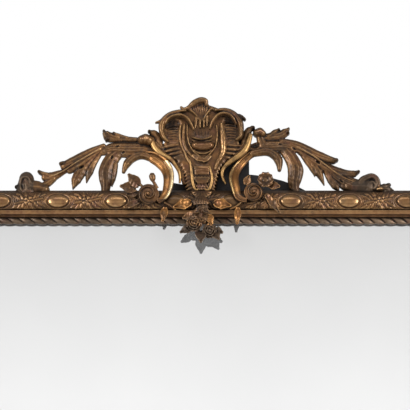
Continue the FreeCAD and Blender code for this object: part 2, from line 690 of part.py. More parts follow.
# Dowels between the crest and the top rail, and screws from behind through the post
dowels = []
for x in (-CARTOUCHE_DOWEL_X, CARTOUCHE_DOWEL_X, LEG_LEFT[-1][0], LEG_RIGHT[-1][0], END_LEFT_X, END_RIGHT_X):
    foot = Vector(x, DOWEL_Y, RAIL_TOP - DOWEL_RAIL)
    dowels.append(Part.makeCylinder(DOWEL_R, DOWEL_RAIL + DOWEL_CREST, foot))
post_screws = []
for x in (POST_LEFT + POST_SCREW_INSET, POST_RIGHT - POST_SCREW_INSET):
    post_screws.append(screw(Vector(x, 0, RAIL_TOP + POST_SCREW_UP), FRONT, POST_SCREW_LEN))
crest_screws = []
for x, z in ((POST_LEFT + POST_SCREW_INSET, POST_TOP - CREST_SCREW_DOWN), (85, 59)):
    crest_screws.append(screw(Vector(x, -BACKING_T, RAIL_TOP + z), FRONT, CREST_SCREW_LEN))

nodes["top_rail"] = carve(top_rail, *dowels)
nodes["bottom_rail"] = rails["bottom"]
nodes["left_stile"] = rails["left"]
nodes["right_stile"] = rails["right"]
nodes["corner_keys"] = Part.makeCompound(keys)
for side in SIDES:
    nodes[f"twisted_bead_{side}"] = rope[side]
    nodes[f"oval_bosses_{side}"] = Part.makeCompound(bosses[side])
    nodes[f"frieze_flowers_{side}"] = Part.makeCompound(flowers[side])
for name, leaf in corner_leaves.items():
    nodes[f"corner_leaf_{name}"] = leaf
nodes["mirror_plate"] = glass
nodes["plate_wedges"] = Part.makeCompound(wedges)
for i, board in enumerate(boards):
    nodes[f"back_board_{i + 1}"] = board
nodes["back_board_screws"] = Part.makeCompound(board_screws)
nodes["crest_backing"] = carve(backing, *backing_screws, *post_screws)
nodes["crest_post"] = carve(post, *crest_screws, *post_screws)
nodes["crest_backing_screws"] = Part.makeCompound(backing_screws + post_screws)
nodes["crest_screws"] = Part.makeCompound(crest_screws)
nodes["crest_dowels"] = Part.makeCompound(dowels)
nodes["cartouche"] = carve(cartouche, *dowels, *crest_screws)
nodes["cartouche_horn_left"] = horns[-1]
nodes["cartouche_horn_right"] = horns[1]
nodes["cartouche_shell"] = shell
nodes["cartouche_rim"] = rim
nodes["cartouche_boss"] = boss_form
nodes["cartouche_straps"] = Part.makeCompound(straps)
nodes["c_scroll_left"] = scroll_left
nodes["c_scroll_right"] = carve(scroll_right, *crest_screws)
nodes["slim_scroll_left"] = slim_left
nodes["slim_scroll_right"] = slim_right
nodes["acanthus_spray_left"] = carve(spray_left, *dowels)
nodes["acanthus_spray_right"] = carve(spray_right, *dowels)
nodes["end_volute_left"] = carve(end_left, *dowels)
nodes["end_volute_right"] = carve(end_right, *dowels)
nodes["bouquet_left"] = bouquet_left
nodes["bouquet_right"] = bouquet_right
nodes["pendant_bouquet"] = pendant

# Ring hangers on the stiles
hanger_screws = []
ring_axis_y = PLATE_T + RING_PLATE_GAP + RING_WIRE_R
ring_axis_z = FRAME_CENTRE_Z + FRAME_H / 2 - HANGER_DOWN
knuckle_r = RING_WIRE_R + RING_FIT + KNUCKLE_WALL
X_AXIS = Vector(1, 0, 0)
Y_AXIS = Vector(0, 1, 0)


def hanger_plate(x):
    low = Vector(x - PLATE_W / 2, 0, ring_axis_z - PLATE_L)
    strap = Part.makeBox(PLATE_W, PLATE_T, PLATE_L, low)
    strap = strap.makeFillet(PLATE_END_R * 0.95, [e for e in strap.Edges if abs(e.BoundBox.ZMax - low.z) < 1e-6
                                                  and e.BoundBox.YLength > PLATE_T / 2])
    block_low = Vector(x - KNUCKLE_W / 2, 0, ring_axis_z - knuckle_r)
    block = Part.makeBox(KNUCKLE_W, ring_axis_y, knuckle_r * 2, block_low)
    barrel_at = Vector(x - KNUCKLE_W / 2, ring_axis_y, ring_axis_z)
    barrel = Part.makeCylinder(knuckle_r, KNUCKLE_W, barrel_at, X_AXIS)
    bore_at = Vector(x - PLATE_W, ring_axis_y, ring_axis_z)
    bore = Part.makeCylinder(RING_WIRE_R + RING_FIT, 2 * PLATE_W, bore_at, X_AXIS)
    return strap.multiFuse([block, barrel]).cut(bore)


def hanger_ring(x):
    """A D of iron rod hanging from its straight bar."""
    leg_low = ring_axis_z - RING_LEG
    bar = Part.makeCylinder(RING_WIRE_R, 2 * RING_R, Vector(x - RING_R, ring_axis_y, ring_axis_z), X_AXIS)
    pieces = [bar]
    for sx in (-1, 1):
        place = Vector(x + sx * RING_R, ring_axis_y, leg_low)
        pieces.append(Part.makeCylinder(RING_WIRE_R, RING_LEG, place))
        pieces.append(Part.makeSphere(RING_WIRE_R, Vector(x + sx * RING_R, ring_axis_y, ring_axis_z)))
    bow = Part.makeTorus(RING_R, RING_WIRE_R, Vector(x, ring_axis_y, leg_low), Y_AXIS)
    low_half = Part.makeBox(4 * RING_R, 4 * RING_WIRE_R, 2 * RING_R,
                            Vector(x - 2 * RING_R, ring_axis_y - 2 * RING_WIRE_R, leg_low - 2 * RING_R))
    pieces.append(bow.common(low_half))
    return one_shape(pieces)


for name, sx in (("left", -1), ("right", 1)):
    x = sx * (FRAME_W / 2 - HANGER_IN)
    plate = hanger_plate(x)
    own = []
    for i in range(HANGER_SCREW_COUNT):
        z = ring_axis_z - PLATE_L + HANGER_SCREW_LOW + i * HANGER_SCREW_PITCH
        own.append(screw(Vector(x, PLATE_T, z), FRONT, HANGER_SCREW_LEN))
    nodes[f"hanger_plate_{name}"] = carve(plate, *own)
    nodes[f"hanger_ring_{name}"] = hanger_ring(x)
    nodes[f"{name}_stile"] = carve(nodes[f"{name}_stile"], *own)
    hanger_screws += own
nodes["hanger_screws"] = Part.makeCompound(hanger_screws)

os.makedirs("parts", exist_ok=True)
for name, shape in nodes.items():
    solids = shape.Solids
    print(name, len(solids), round(sum(s.Volume for s in solids)), all(s.isValid() for s in solids))
    shape.exportStep(f"parts/{name}.step")
print(len(nodes), "nodes")
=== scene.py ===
# %% [markdown]
# # A carved and gilded overmantel mirror
# This lesson dresses a finished construction model. The model gives every piece its real size and place;
# here each one gets its carved form and its worn gold. All lengths below are in millimetres, as a carver
# would write them, and are turned into metres only where a mesh is made.

# %% Load the construction model
import math

import bmesh
import bpy
import numpy as np
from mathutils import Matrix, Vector

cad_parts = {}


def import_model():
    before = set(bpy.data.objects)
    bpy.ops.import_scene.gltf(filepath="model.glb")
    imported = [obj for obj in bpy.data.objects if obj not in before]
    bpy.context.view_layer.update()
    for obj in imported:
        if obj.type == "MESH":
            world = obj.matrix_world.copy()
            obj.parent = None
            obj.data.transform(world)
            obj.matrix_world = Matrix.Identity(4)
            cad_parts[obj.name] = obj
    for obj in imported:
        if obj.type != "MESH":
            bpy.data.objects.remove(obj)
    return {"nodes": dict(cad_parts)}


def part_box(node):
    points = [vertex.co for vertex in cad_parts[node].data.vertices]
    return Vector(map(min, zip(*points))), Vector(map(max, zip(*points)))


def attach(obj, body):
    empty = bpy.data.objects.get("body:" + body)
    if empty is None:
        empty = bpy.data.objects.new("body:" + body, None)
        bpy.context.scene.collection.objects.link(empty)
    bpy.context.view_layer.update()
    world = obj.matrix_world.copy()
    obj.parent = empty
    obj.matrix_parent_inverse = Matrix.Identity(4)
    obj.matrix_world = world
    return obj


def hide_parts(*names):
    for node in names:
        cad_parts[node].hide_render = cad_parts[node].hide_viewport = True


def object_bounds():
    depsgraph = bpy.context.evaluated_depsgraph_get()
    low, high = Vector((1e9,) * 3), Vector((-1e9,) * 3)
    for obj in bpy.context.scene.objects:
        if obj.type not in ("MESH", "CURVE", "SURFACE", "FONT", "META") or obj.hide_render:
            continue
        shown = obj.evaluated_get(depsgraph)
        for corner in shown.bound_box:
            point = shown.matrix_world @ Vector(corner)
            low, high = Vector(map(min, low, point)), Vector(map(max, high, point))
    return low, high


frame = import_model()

cad_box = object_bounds()
MM = 0.001

# %% [markdown]
# ## Measures shared by all the pieces
# The frame's moulding is a raised lip, a round frieze, a narrow quirk, a flat burnished band, a cove and a
# seat for the twisted bead. Distances across it are counted inwards from the outer edge, heights are
# counted from the wall. Two planes place the carving: the back of the crest, and the plane just in front of
# the frieze's ornament.

# %% Measures
FRAME_W, FRAME_H, RAIL_W = 1260.0, 1680.0, 80.0
RAIL_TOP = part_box("top_rail")[1][2] / MM
CENTRE_Z = RAIL_TOP - FRAME_H / 2
CREST_BACK = 18.0
PROUD = -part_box("oval_bosses_top")[0][1] / MM + 2.0
FRONT = np.array([0.0, -1.0, 0.0])


def behind(*places):
    """Places above the rail: x, distance in front of the crest's back, height above the rail's top edge."""
    return [(x, -(CREST_BACK + forward), RAIL_TOP + z) for x, forward, z in places]


def before(*places):
    """Places before the frieze: x, distance in front of its ornament, height above the rail's top edge."""
    return [(x, -(PROUD + forward), RAIL_TOP + z) for x, forward, z in places]


print("rail top at", round(RAIL_TOP, 1), "mm, volutes start", round(PROUD, 1), "mm from the wall")

# %% [markdown]
# ## Worn gilding
# Water gilding is leaf laid over red clay (bole) on white gesso. After a century the hollows hold dark
# dirt, the arrises are rubbed back to bright gold and here and there to the red ground, and dust dulls what
# faces up. A flat gold colour shows none of that. An image could hold the wear, but it would have to be
# painted for every piece. So the colour is mixed from seven tones by rules that any piece can follow: a
# "hollow" value and a value of stain and painted shade stored on each point of the mesh, the occlusion of
# the place, the way it faces, and noise at four scales. The dark tone of the dirt also serves as painted
# shade, and the sides of the carving are painted partly darker as shade.

# %% Node helpers
def finish_tree(name):
    """A new material, with its node tree and its main shader."""
    material = bpy.data.materials.new(name)
    material.use_nodes = True
    return material, material.node_tree, material.node_tree.nodes["Principled BSDF"]


def add(tree, kind, **values):
    """A shader node with its settings and the values of its inputs."""
    node = tree.nodes.new("ShaderNode" + kind)
    for key, value in values.items():
        if hasattr(node, key):
            setattr(node, key, value)
        else:
            node.inputs[key.replace("_", " ")].default_value = value
    return node


def ramp(tree, source, low, high, to_low=0.0, to_high=1.0):
    """Maps a value's range onto another, held at the ends."""
    node = tree.nodes.new("ShaderNodeMapRange")
    for key, value in zip(("From Min", "From Max", "To Min", "To Max"), (low, high, to_low, to_high)):
        node.inputs[key].default_value = value
    tree.links.new(source, node.inputs["Value"])
    return node.outputs["Result"]


def sums(tree, operation, a, b):
    """Works out two values or sockets by one operation, held between 0 and 1."""
    node = tree.nodes.new("ShaderNodeMath")
    node.operation = operation
    node.use_clamp = True
    for socket, value in zip(node.inputs, (a, b)):
        if isinstance(value, (int, float)):
            socket.default_value = value
        else:
            tree.links.new(value, socket)
    return node.outputs[0]


def tint(tree, share, under, over):
    """Lays one colour over another by a share."""
    node = tree.nodes.new("ShaderNodeMix")
    node.data_type = "RGBA"
    tree.links.new(share, node.inputs["Factor"])
    for socket, value in zip((node.inputs[6], node.inputs[7]), (under, over)):
        if isinstance(value, tuple):
            socket.default_value = (*value, 1.0)
        else:
            tree.links.new(value, socket)
    return node.outputs[2]


def raise_grain(tree, shader, height, strength, distance):
    """Lets a value roughen the surface a little; every form that is meant to be seen is in the mesh."""
    bump = add(tree, "Bump", Strength=strength, Distance=distance)
    tree.links.new(height, bump.inputs["Height"])
    tree.links.new(bump.outputs["Normal"], shader.inputs["Normal"])


print("node helpers ready: add, ramp, sums, tint, raise_grain")

# %% The gilded finishes
CLAY, UMBER, DUST = (0.105, 0.041, 0.027), (0.042, 0.030, 0.022), (0.060, 0.048, 0.040)
NOISES = ((16.0, 4.0), (37.0, 4.0), (120.0, 5.0), (700.0, 3.0))


def gilding(name, gold, bronze, dirt_and_shade_tone, rubbed, rough=(0.34, 0.6), metal=0.6, dust_and_side_shade=0.6, speckle=0.6,
            coat=0.16):
    """Old leaf in patches of gold and bronze, rubbed on its arrises, dirty in hollows, dusty on top; painted
    shade darkens its sides and what the mesh stores as shade.
    """
    material, tree, shader = finish_tree(name)
    place = add(tree, "TexCoord").outputs["Object"]
    noises = [add(tree, "TexNoise", Scale=scale, Detail=detail, Roughness=0.6) for scale, detail in NOISES]
    for noise in noises:
        tree.links.new(place, noise.inputs["Vector"])
    patches, clay, mottle, grain = (noise.outputs["Fac"] for noise in noises)
    hollow = add(tree, "Attribute", attribute_name="hollow").outputs["Fac"]
    stain_and_shade = add(tree, "Attribute", attribute_name="stain_and_shade").outputs["Fac"]
    open_sky = add(tree, "AmbientOcclusion", samples=8, Distance=0.012).outputs["AO"]
    # Dirt in hollows, sheltered corners and specks, and the stain and painted shade that the mesh stores
    sheltered = ramp(tree, open_sky, 0.85, 0.3, 0.0, 0.95)
    sunk = sums(tree, "ADD", ramp(tree, hollow, 0.52, 0.80, 0.0, 0.95), sheltered)
    sunk = sums(tree, "ADD", sunk, ramp(tree, mottle, 0.50, 0.85, 0.0, speckle))
    sunk = sums(tree, "ADD", sunk, ramp(tree, stain_and_shade, 0.0, 1.0, 0.0, 0.75))
    # Rubbed arrises, broken up by the mottle and the patches
    arris = sums(tree, "MULTIPLY", ramp(tree, hollow, 0.46, 0.10), ramp(tree, mottle, 0.3, 0.6))
    arris = sums(tree, "MULTIPLY", arris, ramp(tree, patches, 0.32, 0.62, 0.25, 1.0))
    # Dust on what faces up; on the sides of the carving a darker brown, partly their untouched brown and
    # partly painted shade
    facing = add(tree, "SeparateXYZ")
    tree.links.new(add(tree, "NewGeometry").outputs["Normal"], facing.inputs[0])
    dusty = ramp(tree, facing.outputs["Z"], 0.15, 0.9, 0.0, dust_and_side_shade)
    side_brown_and_shade = ramp(tree, sums(tree, "ABSOLUTE", facing.outputs["Y"], 0.0), 0.5, 0.1, 0.0, dust_and_side_shade)
    colour = tint(tree, ramp(tree, patches, 0.40, 0.60), bronze, gold)
    colour = tint(tree, ramp(tree, clay, 0.53, 0.66, 0.0, 0.6), colour, CLAY)
    colour = tint(tree, ramp(tree, clay, 0.46, 0.34, 0.0, 0.6), colour, UMBER)
    colour = tint(tree, arris, colour, rubbed)
    worn = sums(tree, "MULTIPLY", ramp(tree, grain, 0.60, 0.72), ramp(tree, patches, 0.5, 0.7))
    colour = tint(tree, worn, colour, CLAY)
    colour = tint(tree, dusty, colour, DUST)
    colour = tint(tree, side_brown_and_shade, colour, UMBER)
    colour = tint(tree, sunk, colour, dirt_and_shade_tone)
    tree.links.new(colour, shader.inputs["Base Color"])
    tree.links.new(ramp(tree, sunk, 0.0, 1.0, *rough), shader.inputs["Roughness"])
    shader.inputs["Metallic"].default_value = metal
    shader.inputs["Specular IOR Level"].default_value = 0.2
    shader.inputs["Coat Weight"].default_value = coat
    shader.inputs["Coat Roughness"].default_value = 0.22
    height = sums(tree, "ADD", ramp(tree, mottle, 0, 1, 0, 0.5), ramp(tree, grain, 0, 1, 0, 0.3))
    raise_grain(tree, shader, height, 0.25, 0.0008)
    return material


print("gilding is mixed by noise at", len(NOISES), "scales")

# %% Eight states of the gold: gold leaf, bronze patches, dirt, rubbed arris
GILT = gilding("aged_gilding", (0.160, 0.073, 0.025), (0.074, 0.037, 0.0162), (0.011, 0.006, 0.0035),
               (0.36, 0.21, 0.085))
DULL_GILT = gilding("dulled_gilding", (0.092, 0.056, 0.031), (0.047, 0.031, 0.020), (0.009, 0.0065, 0.005),
                    (0.20, 0.14, 0.092), rough=(0.45, 0.7), coat=0.06)
BAND_GILT = gilding("plain_band_gilding", (0.195, 0.090, 0.035), (0.130, 0.060, 0.024),
                    (0.020, 0.011, 0.006), (0.42, 0.25, 0.11), rough=(0.30, 0.5), metal=0.7, dust_and_side_shade=0.3,
                    speckle=0.3)
LEAF_GILT = gilding("rubbed_gilding", (0.285, 0.150, 0.060), (0.185, 0.092, 0.036), (0.020, 0.011, 0.006),
                    (0.52, 0.33, 0.155), rough=(0.28, 0.5), metal=0.75, dust_and_side_shade=0.2, speckle=0.2)
WARM_GILT = gilding("warm_gilding", (0.33, 0.150, 0.045), (0.21, 0.095, 0.030), (0.022, 0.012, 0.006),
                    (0.42, 0.225, 0.080), rough=(0.28, 0.5), metal=0.75, dust_and_side_shade=0.1, speckle=0.1, coat=0.05)
# Pale rubbed gold for the left scroll's ridge; its pale tone is also a painted highlight.
PALE_GILT_AND_HIGHLIGHT = gilding("gilding_rubbed_pale_painted_highlight", (0.86, 0.66, 0.39), (0.66, 0.46, 0.23), (0.040, 0.022, 0.011),
                    (0.93, 0.78, 0.52), rough=(0.30, 0.5), metal=0.7, dust_and_side_shade=0.0, speckle=0.0)
BRIGHT_GILT = gilding("burnished_gilding", (0.53, 0.34, 0.135), (0.37, 0.220, 0.085), (0.030, 0.016, 0.008),
                      (0.70, 0.50, 0.26), rough=(0.24, 0.5), metal=0.85, dust_and_side_shade=0.15, speckle=0.0)
SOFT_GILT = gilding("soft_burnished_gilding", (0.44, 0.258, 0.098), (0.32, 0.186, 0.071),
                    (0.030, 0.016, 0.008), (0.54, 0.350, 0.16), rough=(0.40, 0.55), metal=0.8, dust_and_side_shade=0.1,
                    speckle=0.0, coat=0.03)
gilded = (GILT, DULL_GILT, BAND_GILT, LEAF_GILT, WARM_GILT, PALE_GILT_AND_HIGHLIGHT, BRIGHT_GILT, SOFT_GILT)
print("gilded finishes:", ", ".join(finish.name for finish in gilded))

# %% [markdown]
# ## Bare wood, black paint and iron
# Behind the gold the frame is plain softwood gone brown, and the crest's backing is painted a dull black.
# Wood grain is drawn as bands of noise stretched along the board. The fittings are dark iron with a little
# rust in the noise.

# %% Plain finishes
def wood(name, pale, dark, along):
    """Softwood whose grain runs along one axis: 0 for x, 2 for z."""
    material, tree, shader = finish_tree(name)
    stretch = add(tree, "Mapping")
    stretch.inputs["Scale"].default_value = [1.5 if axis == along else 42.0 for axis in range(3)]
    tree.links.new(add(tree, "TexCoord").outputs["Object"], stretch.inputs["Vector"])
    rings = add(tree, "TexNoise", Scale=1.6, Detail=6.0, Roughness=0.65, Distortion=0.8)
    fibre = add(tree, "TexNoise", Scale=9.0, Detail=4.0)
    for noise in (rings, fibre):
        tree.links.new(stretch.outputs["Vector"], noise.inputs["Vector"])
    colour = tint(tree, ramp(tree, rings.outputs["Fac"], 0.35, 0.65), pale, dark)
    darkest = tuple(0.5 * v for v in dark)
    colour = tint(tree, ramp(tree, fibre.outputs["Fac"], 0.55, 0.8, 0.0, 0.5), colour, darkest)
    tree.links.new(colour, shader.inputs["Base Color"])
    tree.links.new(ramp(tree, fibre.outputs["Fac"], 0.3, 0.7, 0.6, 0.85), shader.inputs["Roughness"])
    raise_grain(tree, shader, fibre.outputs["Fac"], 0.3, 0.0006)
    return material


def mottled(name, one, other, scale, rough, metal=0.0, shine=0.5):
    """A plain coat or metal with a slow change of tone and a rough grain."""
    material, tree, shader = finish_tree(name)
    noise = add(tree, "TexNoise", Scale=scale, Detail=6.0, Roughness=0.65)
    tree.links.new(add(tree, "TexCoord").outputs["Object"], noise.inputs["Vector"])
    colour = tint(tree, ramp(tree, noise.outputs["Fac"], 0.35, 0.65), one, other)
    tree.links.new(colour, shader.inputs["Base Color"])
    tree.links.new(ramp(tree, noise.outputs["Fac"], 0.3, 0.7, *rough), shader.inputs["Roughness"])
    shader.inputs["Metallic"].default_value = metal
    shader.inputs["Specular IOR Level"].default_value = shine
    raise_grain(tree, shader, noise.outputs["Fac"], 0.2, 0.0005)
    return material


PINE_ALONG = wood("bare_pine_along", (0.36, 0.235, 0.125), (0.22, 0.125, 0.060), 0)
PINE_UPRIGHT = wood("bare_pine_upright", (0.34, 0.220, 0.118), (0.21, 0.120, 0.058), 2)
RAW_BACK = mottled("raw_carving_back", (0.17, 0.105, 0.055), (0.10, 0.060, 0.032), 60.0, (0.7, 0.9))
# Backs of leaves that the plate reflects are painted dark grey as painted shade.
SHADED_BACK_PAINT = mottled("back_painted_as_shade", (0.029, 0.028, 0.027), (0.044, 0.043, 0.042), 70.0, (0.7, 0.9))
BLACK = mottled("dull_black_paint", (0.007, 0.006, 0.006), (0.018, 0.016, 0.016), 45.0, (0.5, 0.75),
                shine=0.15)
IRON = mottled("dark_iron", (0.055, 0.048, 0.043), (0.11, 0.075, 0.050), 160.0, (0.42, 0.65), 0.9)
STEEL = mottled("dulled_steel", (0.22, 0.20, 0.18), (0.12, 0.10, 0.085), 300.0, (0.35, 0.55), 1.0)
plain = (PINE_ALONG, PINE_UPRIGHT, RAW_BACK, SHADED_BACK_PAINT, BLACK, IRON, STEEL)
print("plain finishes:", ", ".join(finish.name for finish in plain))

# %% [markdown]
# ## The silvered plate
# Old plate glass is a mirror with a faint grey cast. A fully metallic surface with almost no roughness does
# it; a very slow noise makes the silvering a little uneven, which is what tells old plate from new.

# %% Mirror finish
def silvering():
    """An almost smooth metal whose tone drifts slowly."""
    material, tree, shader = finish_tree("silvered_plate")
    cloud = add(tree, "TexNoise", Scale=2.2, Detail=3.0)
    tree.links.new(add(tree, "TexCoord").outputs["Object"], cloud.inputs["Vector"])
    uneven = ramp(tree, cloud.outputs["Fac"], 0.3, 0.7)
    tone = tint(tree, uneven, (0.855, 0.855, 0.855), (0.893, 0.893, 0.891))
    tree.links.new(tone, shader.inputs["Base Color"])
    shader.inputs["Metallic"].default_value = 0.9
    tree.links.new(ramp(tree, cloud.outputs["Fac"], 0.3, 0.7, 0.015, 0.035), shader.inputs["Roughness"])
    return material


SILVER = silvering()
print("mirror finish:", SILVER.name)

# %% [markdown]
# ## Finishing the pieces that keep their construction shape
# Boards, wedges, keys, screws and iron fittings are already right as solids, so they only take a material.

# %% Dress the plain nodes
def dress(material, *names):
    """Gives a finish to nodes that keep their construction shape."""
    for name in names:
        for slot in frame["nodes"][name].material_slots:
            slot.link = "OBJECT"
            slot.material = material


nodes = list(frame["nodes"])
dress(PINE_ALONG, *[n for n in nodes if n.startswith("back_board_") and n != "back_board_screws"])
dress(PINE_UPRIGHT, "plate_wedges", "corner_keys", "crest_dowels")
dress(BLACK, "crest_post")
dress(STEEL, *[n for n in nodes if n.endswith("screws")])
dress(IRON, *[n for n in nodes if n.startswith(("hanger_plate", "hanger_ring"))])
dress(SILVER, "mirror_plate")
print("plain nodes dressed")

# %% [markdown]
# ## Carving tools: a smooth line and a section that follows it
# Nearly every form in the crest is a line with a section that swells and tapers along it. The line is a
# natural cubic through a few chosen places. At each step the section stands square to the line, with one
# direction across it and one towards the viewer. A curve object with a bevel could do the same, but its
# section can't change along the line.

# %% Lines and frames
def unit(v):
    """Vectors of length one in the same directions."""
    return v / np.linalg.norm(v, axis=-1, keepdims=True)


def smooth_line(points, steps):
    """A natural cubic through the points in even steps: the places, and where each lies in the list."""
    p = np.array(points, float)
    count = len(p)
    run = np.concatenate([[0.0], np.cumsum(np.linalg.norm(np.diff(p, axis=0), axis=1))])
    gap = np.diff(run)
    matrix, right = np.eye(count), np.zeros((count, 3))
    for i in range(1, count - 1):
        matrix[i, i - 1:i + 2] = gap[i - 1], 2 * (gap[i - 1] + gap[i]), gap[i]
        right[i] = 6 * ((p[i + 1] - p[i]) / gap[i] - (p[i] - p[i - 1]) / gap[i - 1])
    bend = np.linalg.solve(matrix, right)
    fine = np.linspace(0, run[-1], 30 * count)
    i = np.clip(np.searchsorted(run, fine, side="right") - 1, 0, count - 2)
    a = ((run[i + 1] - fine) / gap[i])[:, None]
    b = 1 - a
    bow = (gap[i] ** 2 / 6)[:, None]
    curve = a * p[i] + b * p[i + 1] + ((a ** 3 - a) * bend[i] + (b ** 3 - b) * bend[i + 1]) * bow
    length = np.concatenate([[0.0], np.cumsum(np.linalg.norm(np.diff(curve, axis=0), axis=1))])
    even = np.linspace(0, length[-1], steps)
    places = np.stack([np.interp(even, length, curve[:, k]) for k in range(3)], axis=1)
    share = np.interp(np.interp(even, length, fine), run, np.arange(count))
    return places, share


def frames(places):
    """The directions across a line and out towards the viewer, square to it at each place."""
    ahead = unit(np.gradient(places, axis=0))
    across = unit(np.cross(ahead, FRONT))
    return across, np.cross(across, ahead)


print("line test: 5 places on", smooth_line([(0, 0, 0), (1, 0, 1), (2, 0, 0)], 5)[0].round(2).tolist())


# %% Shells: a shell is a list of points and a list of faces
def ring_shell(rings):
    """Joins closed rings of equal count into a tube with capped ends."""
    rings = np.asarray(rings)
    steps, count = rings.shape[:2]
    faces = []
    for i in range(steps - 1):
        for j in range(count):
            k = (j + 1) % count
            faces.append((i * count + j, i * count + k, (i + 1) * count + k, (i + 1) * count + j))
    faces.append(tuple(range(count))[::-1])
    faces.append(tuple((steps - 1) * count + j for j in range(count)))
    return rings.reshape(-1, 3), faces


def sweep(points, widths, section, steps):
    """Carries a section along a line that has a half width at each of its places."""
    places, share = smooth_line(points, steps)
    half = np.interp(share, np.arange(len(widths)), widths)
    across, out = frames(places)
    rings = []
    for i, t in enumerate(np.linspace(0, 1, steps)):
        loop = section(half[i], t)
        rings.append(places[i] + loop[:, :1] * across[i] + loop[:, 1:] * out[i])
    return ring_shell(rings)


def slab(grid, thick):
    """Closes an open grid of points into a thin shell with that thickness behind it."""
    grid = np.asarray(grid, float)
    rows, cols = grid.shape[:2]
    normal = unit(np.cross(np.gradient(grid, axis=0), np.gradient(grid, axis=1)) + 1e-9)
    if normal[rows // 2, cols // 2] @ FRONT < 0:
        normal = -normal
    points = np.concatenate([grid.reshape(-1, 3), (grid - normal * thick).reshape(-1, 3)])
    back = rows * cols
    faces = []
    for i in range(rows - 1):
        for j in range(cols - 1):
            a, b, c, d = i * cols + j, i * cols + j + 1, (i + 1) * cols + j + 1, (i + 1) * cols + j
            faces += [(a, b, c, d), (back + d, back + c, back + b, back + a)]
    rim = list(range(cols)) + [i * cols + cols - 1 for i in range(1, rows)]
    rim += [(rows - 1) * cols + j for j in range(cols - 2, -1, -1)]
    rim += [i * cols for i in range(rows - 2, 0, -1)]
    for a, b in zip(rim, rim[1:] + rim[:1]):
        faces.append((b, a, back + a, back + b))
    return points, faces


def lathe(centre, profile, count):
    """A form turned about the front-to-back axis; its profile is (radius, height) from rim to middle."""
    turn = np.linspace(0, 2 * math.pi, count, endpoint=False)
    rings = [[(centre[0] + r * math.cos(a), centre[1] - h, centre[2] + r * math.sin(a)) for a in turn]
             for r, h in profile]
    return ring_shell(rings)


print("shell test: a turned button has", len(lathe((0, 0, 0), [(2, 0), (1, 1)], 12)[1]), "faces")

# %% [markdown]
# ## Carving tools: sections
# A gouge leaves a hollow flute with a sharp arris on each side; that is what makes carved leaves sparkle.
# The leaf's section is therefore an arch with several scoops taken out of it. Scrolls have a gently rounded
# face and a high ridge along one edge, drawn as heights at a few places. Stems, buds and rods are round.

# %% Sections
def leaf_section(flutes, widest, thick, crown, cut):
    """An arch with scooped flutes, which start a little way from the root."""
    u = np.linspace(-1, 1, 9 * flutes + 1)
    within = 2 * (((u + 1) / 2 * flutes) % 1.0) - 1
    scoop = 1 - within ** 2
    start, thinnest = 0.06, 0.42

    def section(half, t):
        scale = max(half / widest, thinnest)
        depth = cut * scale * min(1.0, t / start)
        front = (thick + crown * (1 - u ** 2)) * scale - depth * scoop
        edge = np.stack([u * half, front], axis=1)
        return np.concatenate([edge, [[half * 0.9, 0.0], [-half * 0.9, 0.0]]])
    return section


def shaped_section(across, heights, widest, side, thinnest):
    """A section drawn by its heights at places across it, from -1 to 1; side=-1 turns it over."""
    u = np.linspace(-1, 1, 41)
    base = np.interp(u, across, heights)[::side]

    def section(half, t):
        scale = max(half / widest, thinnest)
        edge = np.stack([u * half, base * scale], axis=1)
        return np.concatenate([edge, [[half * 0.92, 0.0], [-half * 0.92, 0.0]]])
    return section


def round_section(flat=1.0):
    """A round rod; flat stretches it towards the viewer."""
    turn = np.linspace(0, 2 * math.pi, 16, endpoint=False)

    def section(half, t):
        return np.stack([half * np.cos(turn), half * flat * np.sin(turn)], axis=1)
    return section


print("sections: fluted leaf, drawn scroll, round rod")

# %% [markdown]
# ## From shells to one carved piece
# Separate shells that only run into each other look assembled. Joining them with booleans is slow and
# leaves sharp seams. A voxel remesh melts them into one closed skin, with the slightly soft edges that
# gesso gives to carving. Afterwards each point learns how hollow its place is: the mesh is smoothed a few
# times, and a point that lies under the smoothed skin is in a hollow.

# %% Reading a mesh and storing a value on it
def mesh_places(mesh):
    """The places of all points of a mesh, in metres."""
    places = np.empty(len(mesh.vertices) * 3)
    mesh.vertices.foreach_get("co", places)
    return places.reshape(-1, 3)


def mesh_links(mesh):
    """The pairs of points that an edge joins, and how many edges meet at each point."""
    edges = np.empty(len(mesh.edges) * 2, int)
    mesh.edges.foreach_get("vertices", edges)
    valence = np.maximum(np.bincount(edges, minlength=len(mesh.vertices)), 1)
    return edges.reshape(-1, 2), valence


def store(mesh, name, values):
    """Keeps one number for each point, where the gilding can read it."""
    layer = mesh.attributes.get(name) or mesh.attributes.new(name, "FLOAT", "POINT")
    layer.data.foreach_set("value", values.astype(np.float32))


print("mesh tools ready: mesh_places, mesh_links, store")

# %% Hollows and soft edges
def neighbour_means(places, edges, valence):
    """For each point, the middle of the points that it is joined to."""
    total = np.zeros_like(places)
    for a, b in ((0, 1), (1, 0)):
        for k in range(3):
            total[:, k] += np.bincount(edges[:, a], weights=places[edges[:, b], k], minlength=len(places))
    return total / valence[:, None]


def mark_hollows(mesh, rounds, depth):
    """Stores 0.5 on plain ground, more in hollows and less on arrises; depth is in millimetres."""
    places = mesh_places(mesh)
    normals = np.empty(places.size)
    mesh.vertex_normals.foreach_get("vector", normals)
    edges, valence = mesh_links(mesh)
    smooth = places
    for _ in range(rounds):
        smooth = neighbour_means(smooth, edges, valence)
    sunk = np.einsum("ij,ij->i", smooth - places, normals.reshape(-1, 3)) / (depth * MM)
    store(mesh, "hollow", 0.5 + 0.5 * np.clip(sunk, -1, 1))


def soften(mesh, rounds):
    """Smooths a mesh in pairs of a pull and a push, which keeps its size."""
    places = mesh_places(mesh)
    edges, valence = mesh_links(mesh)
    for pull in (0.5, -0.52) * rounds:
        places = places + pull * (neighbour_means(places, edges, valence) - places)
    mesh.vertices.foreach_set("co", places.ravel())
    mesh.update()


print("surface tools ready: mark_hollows, soften")

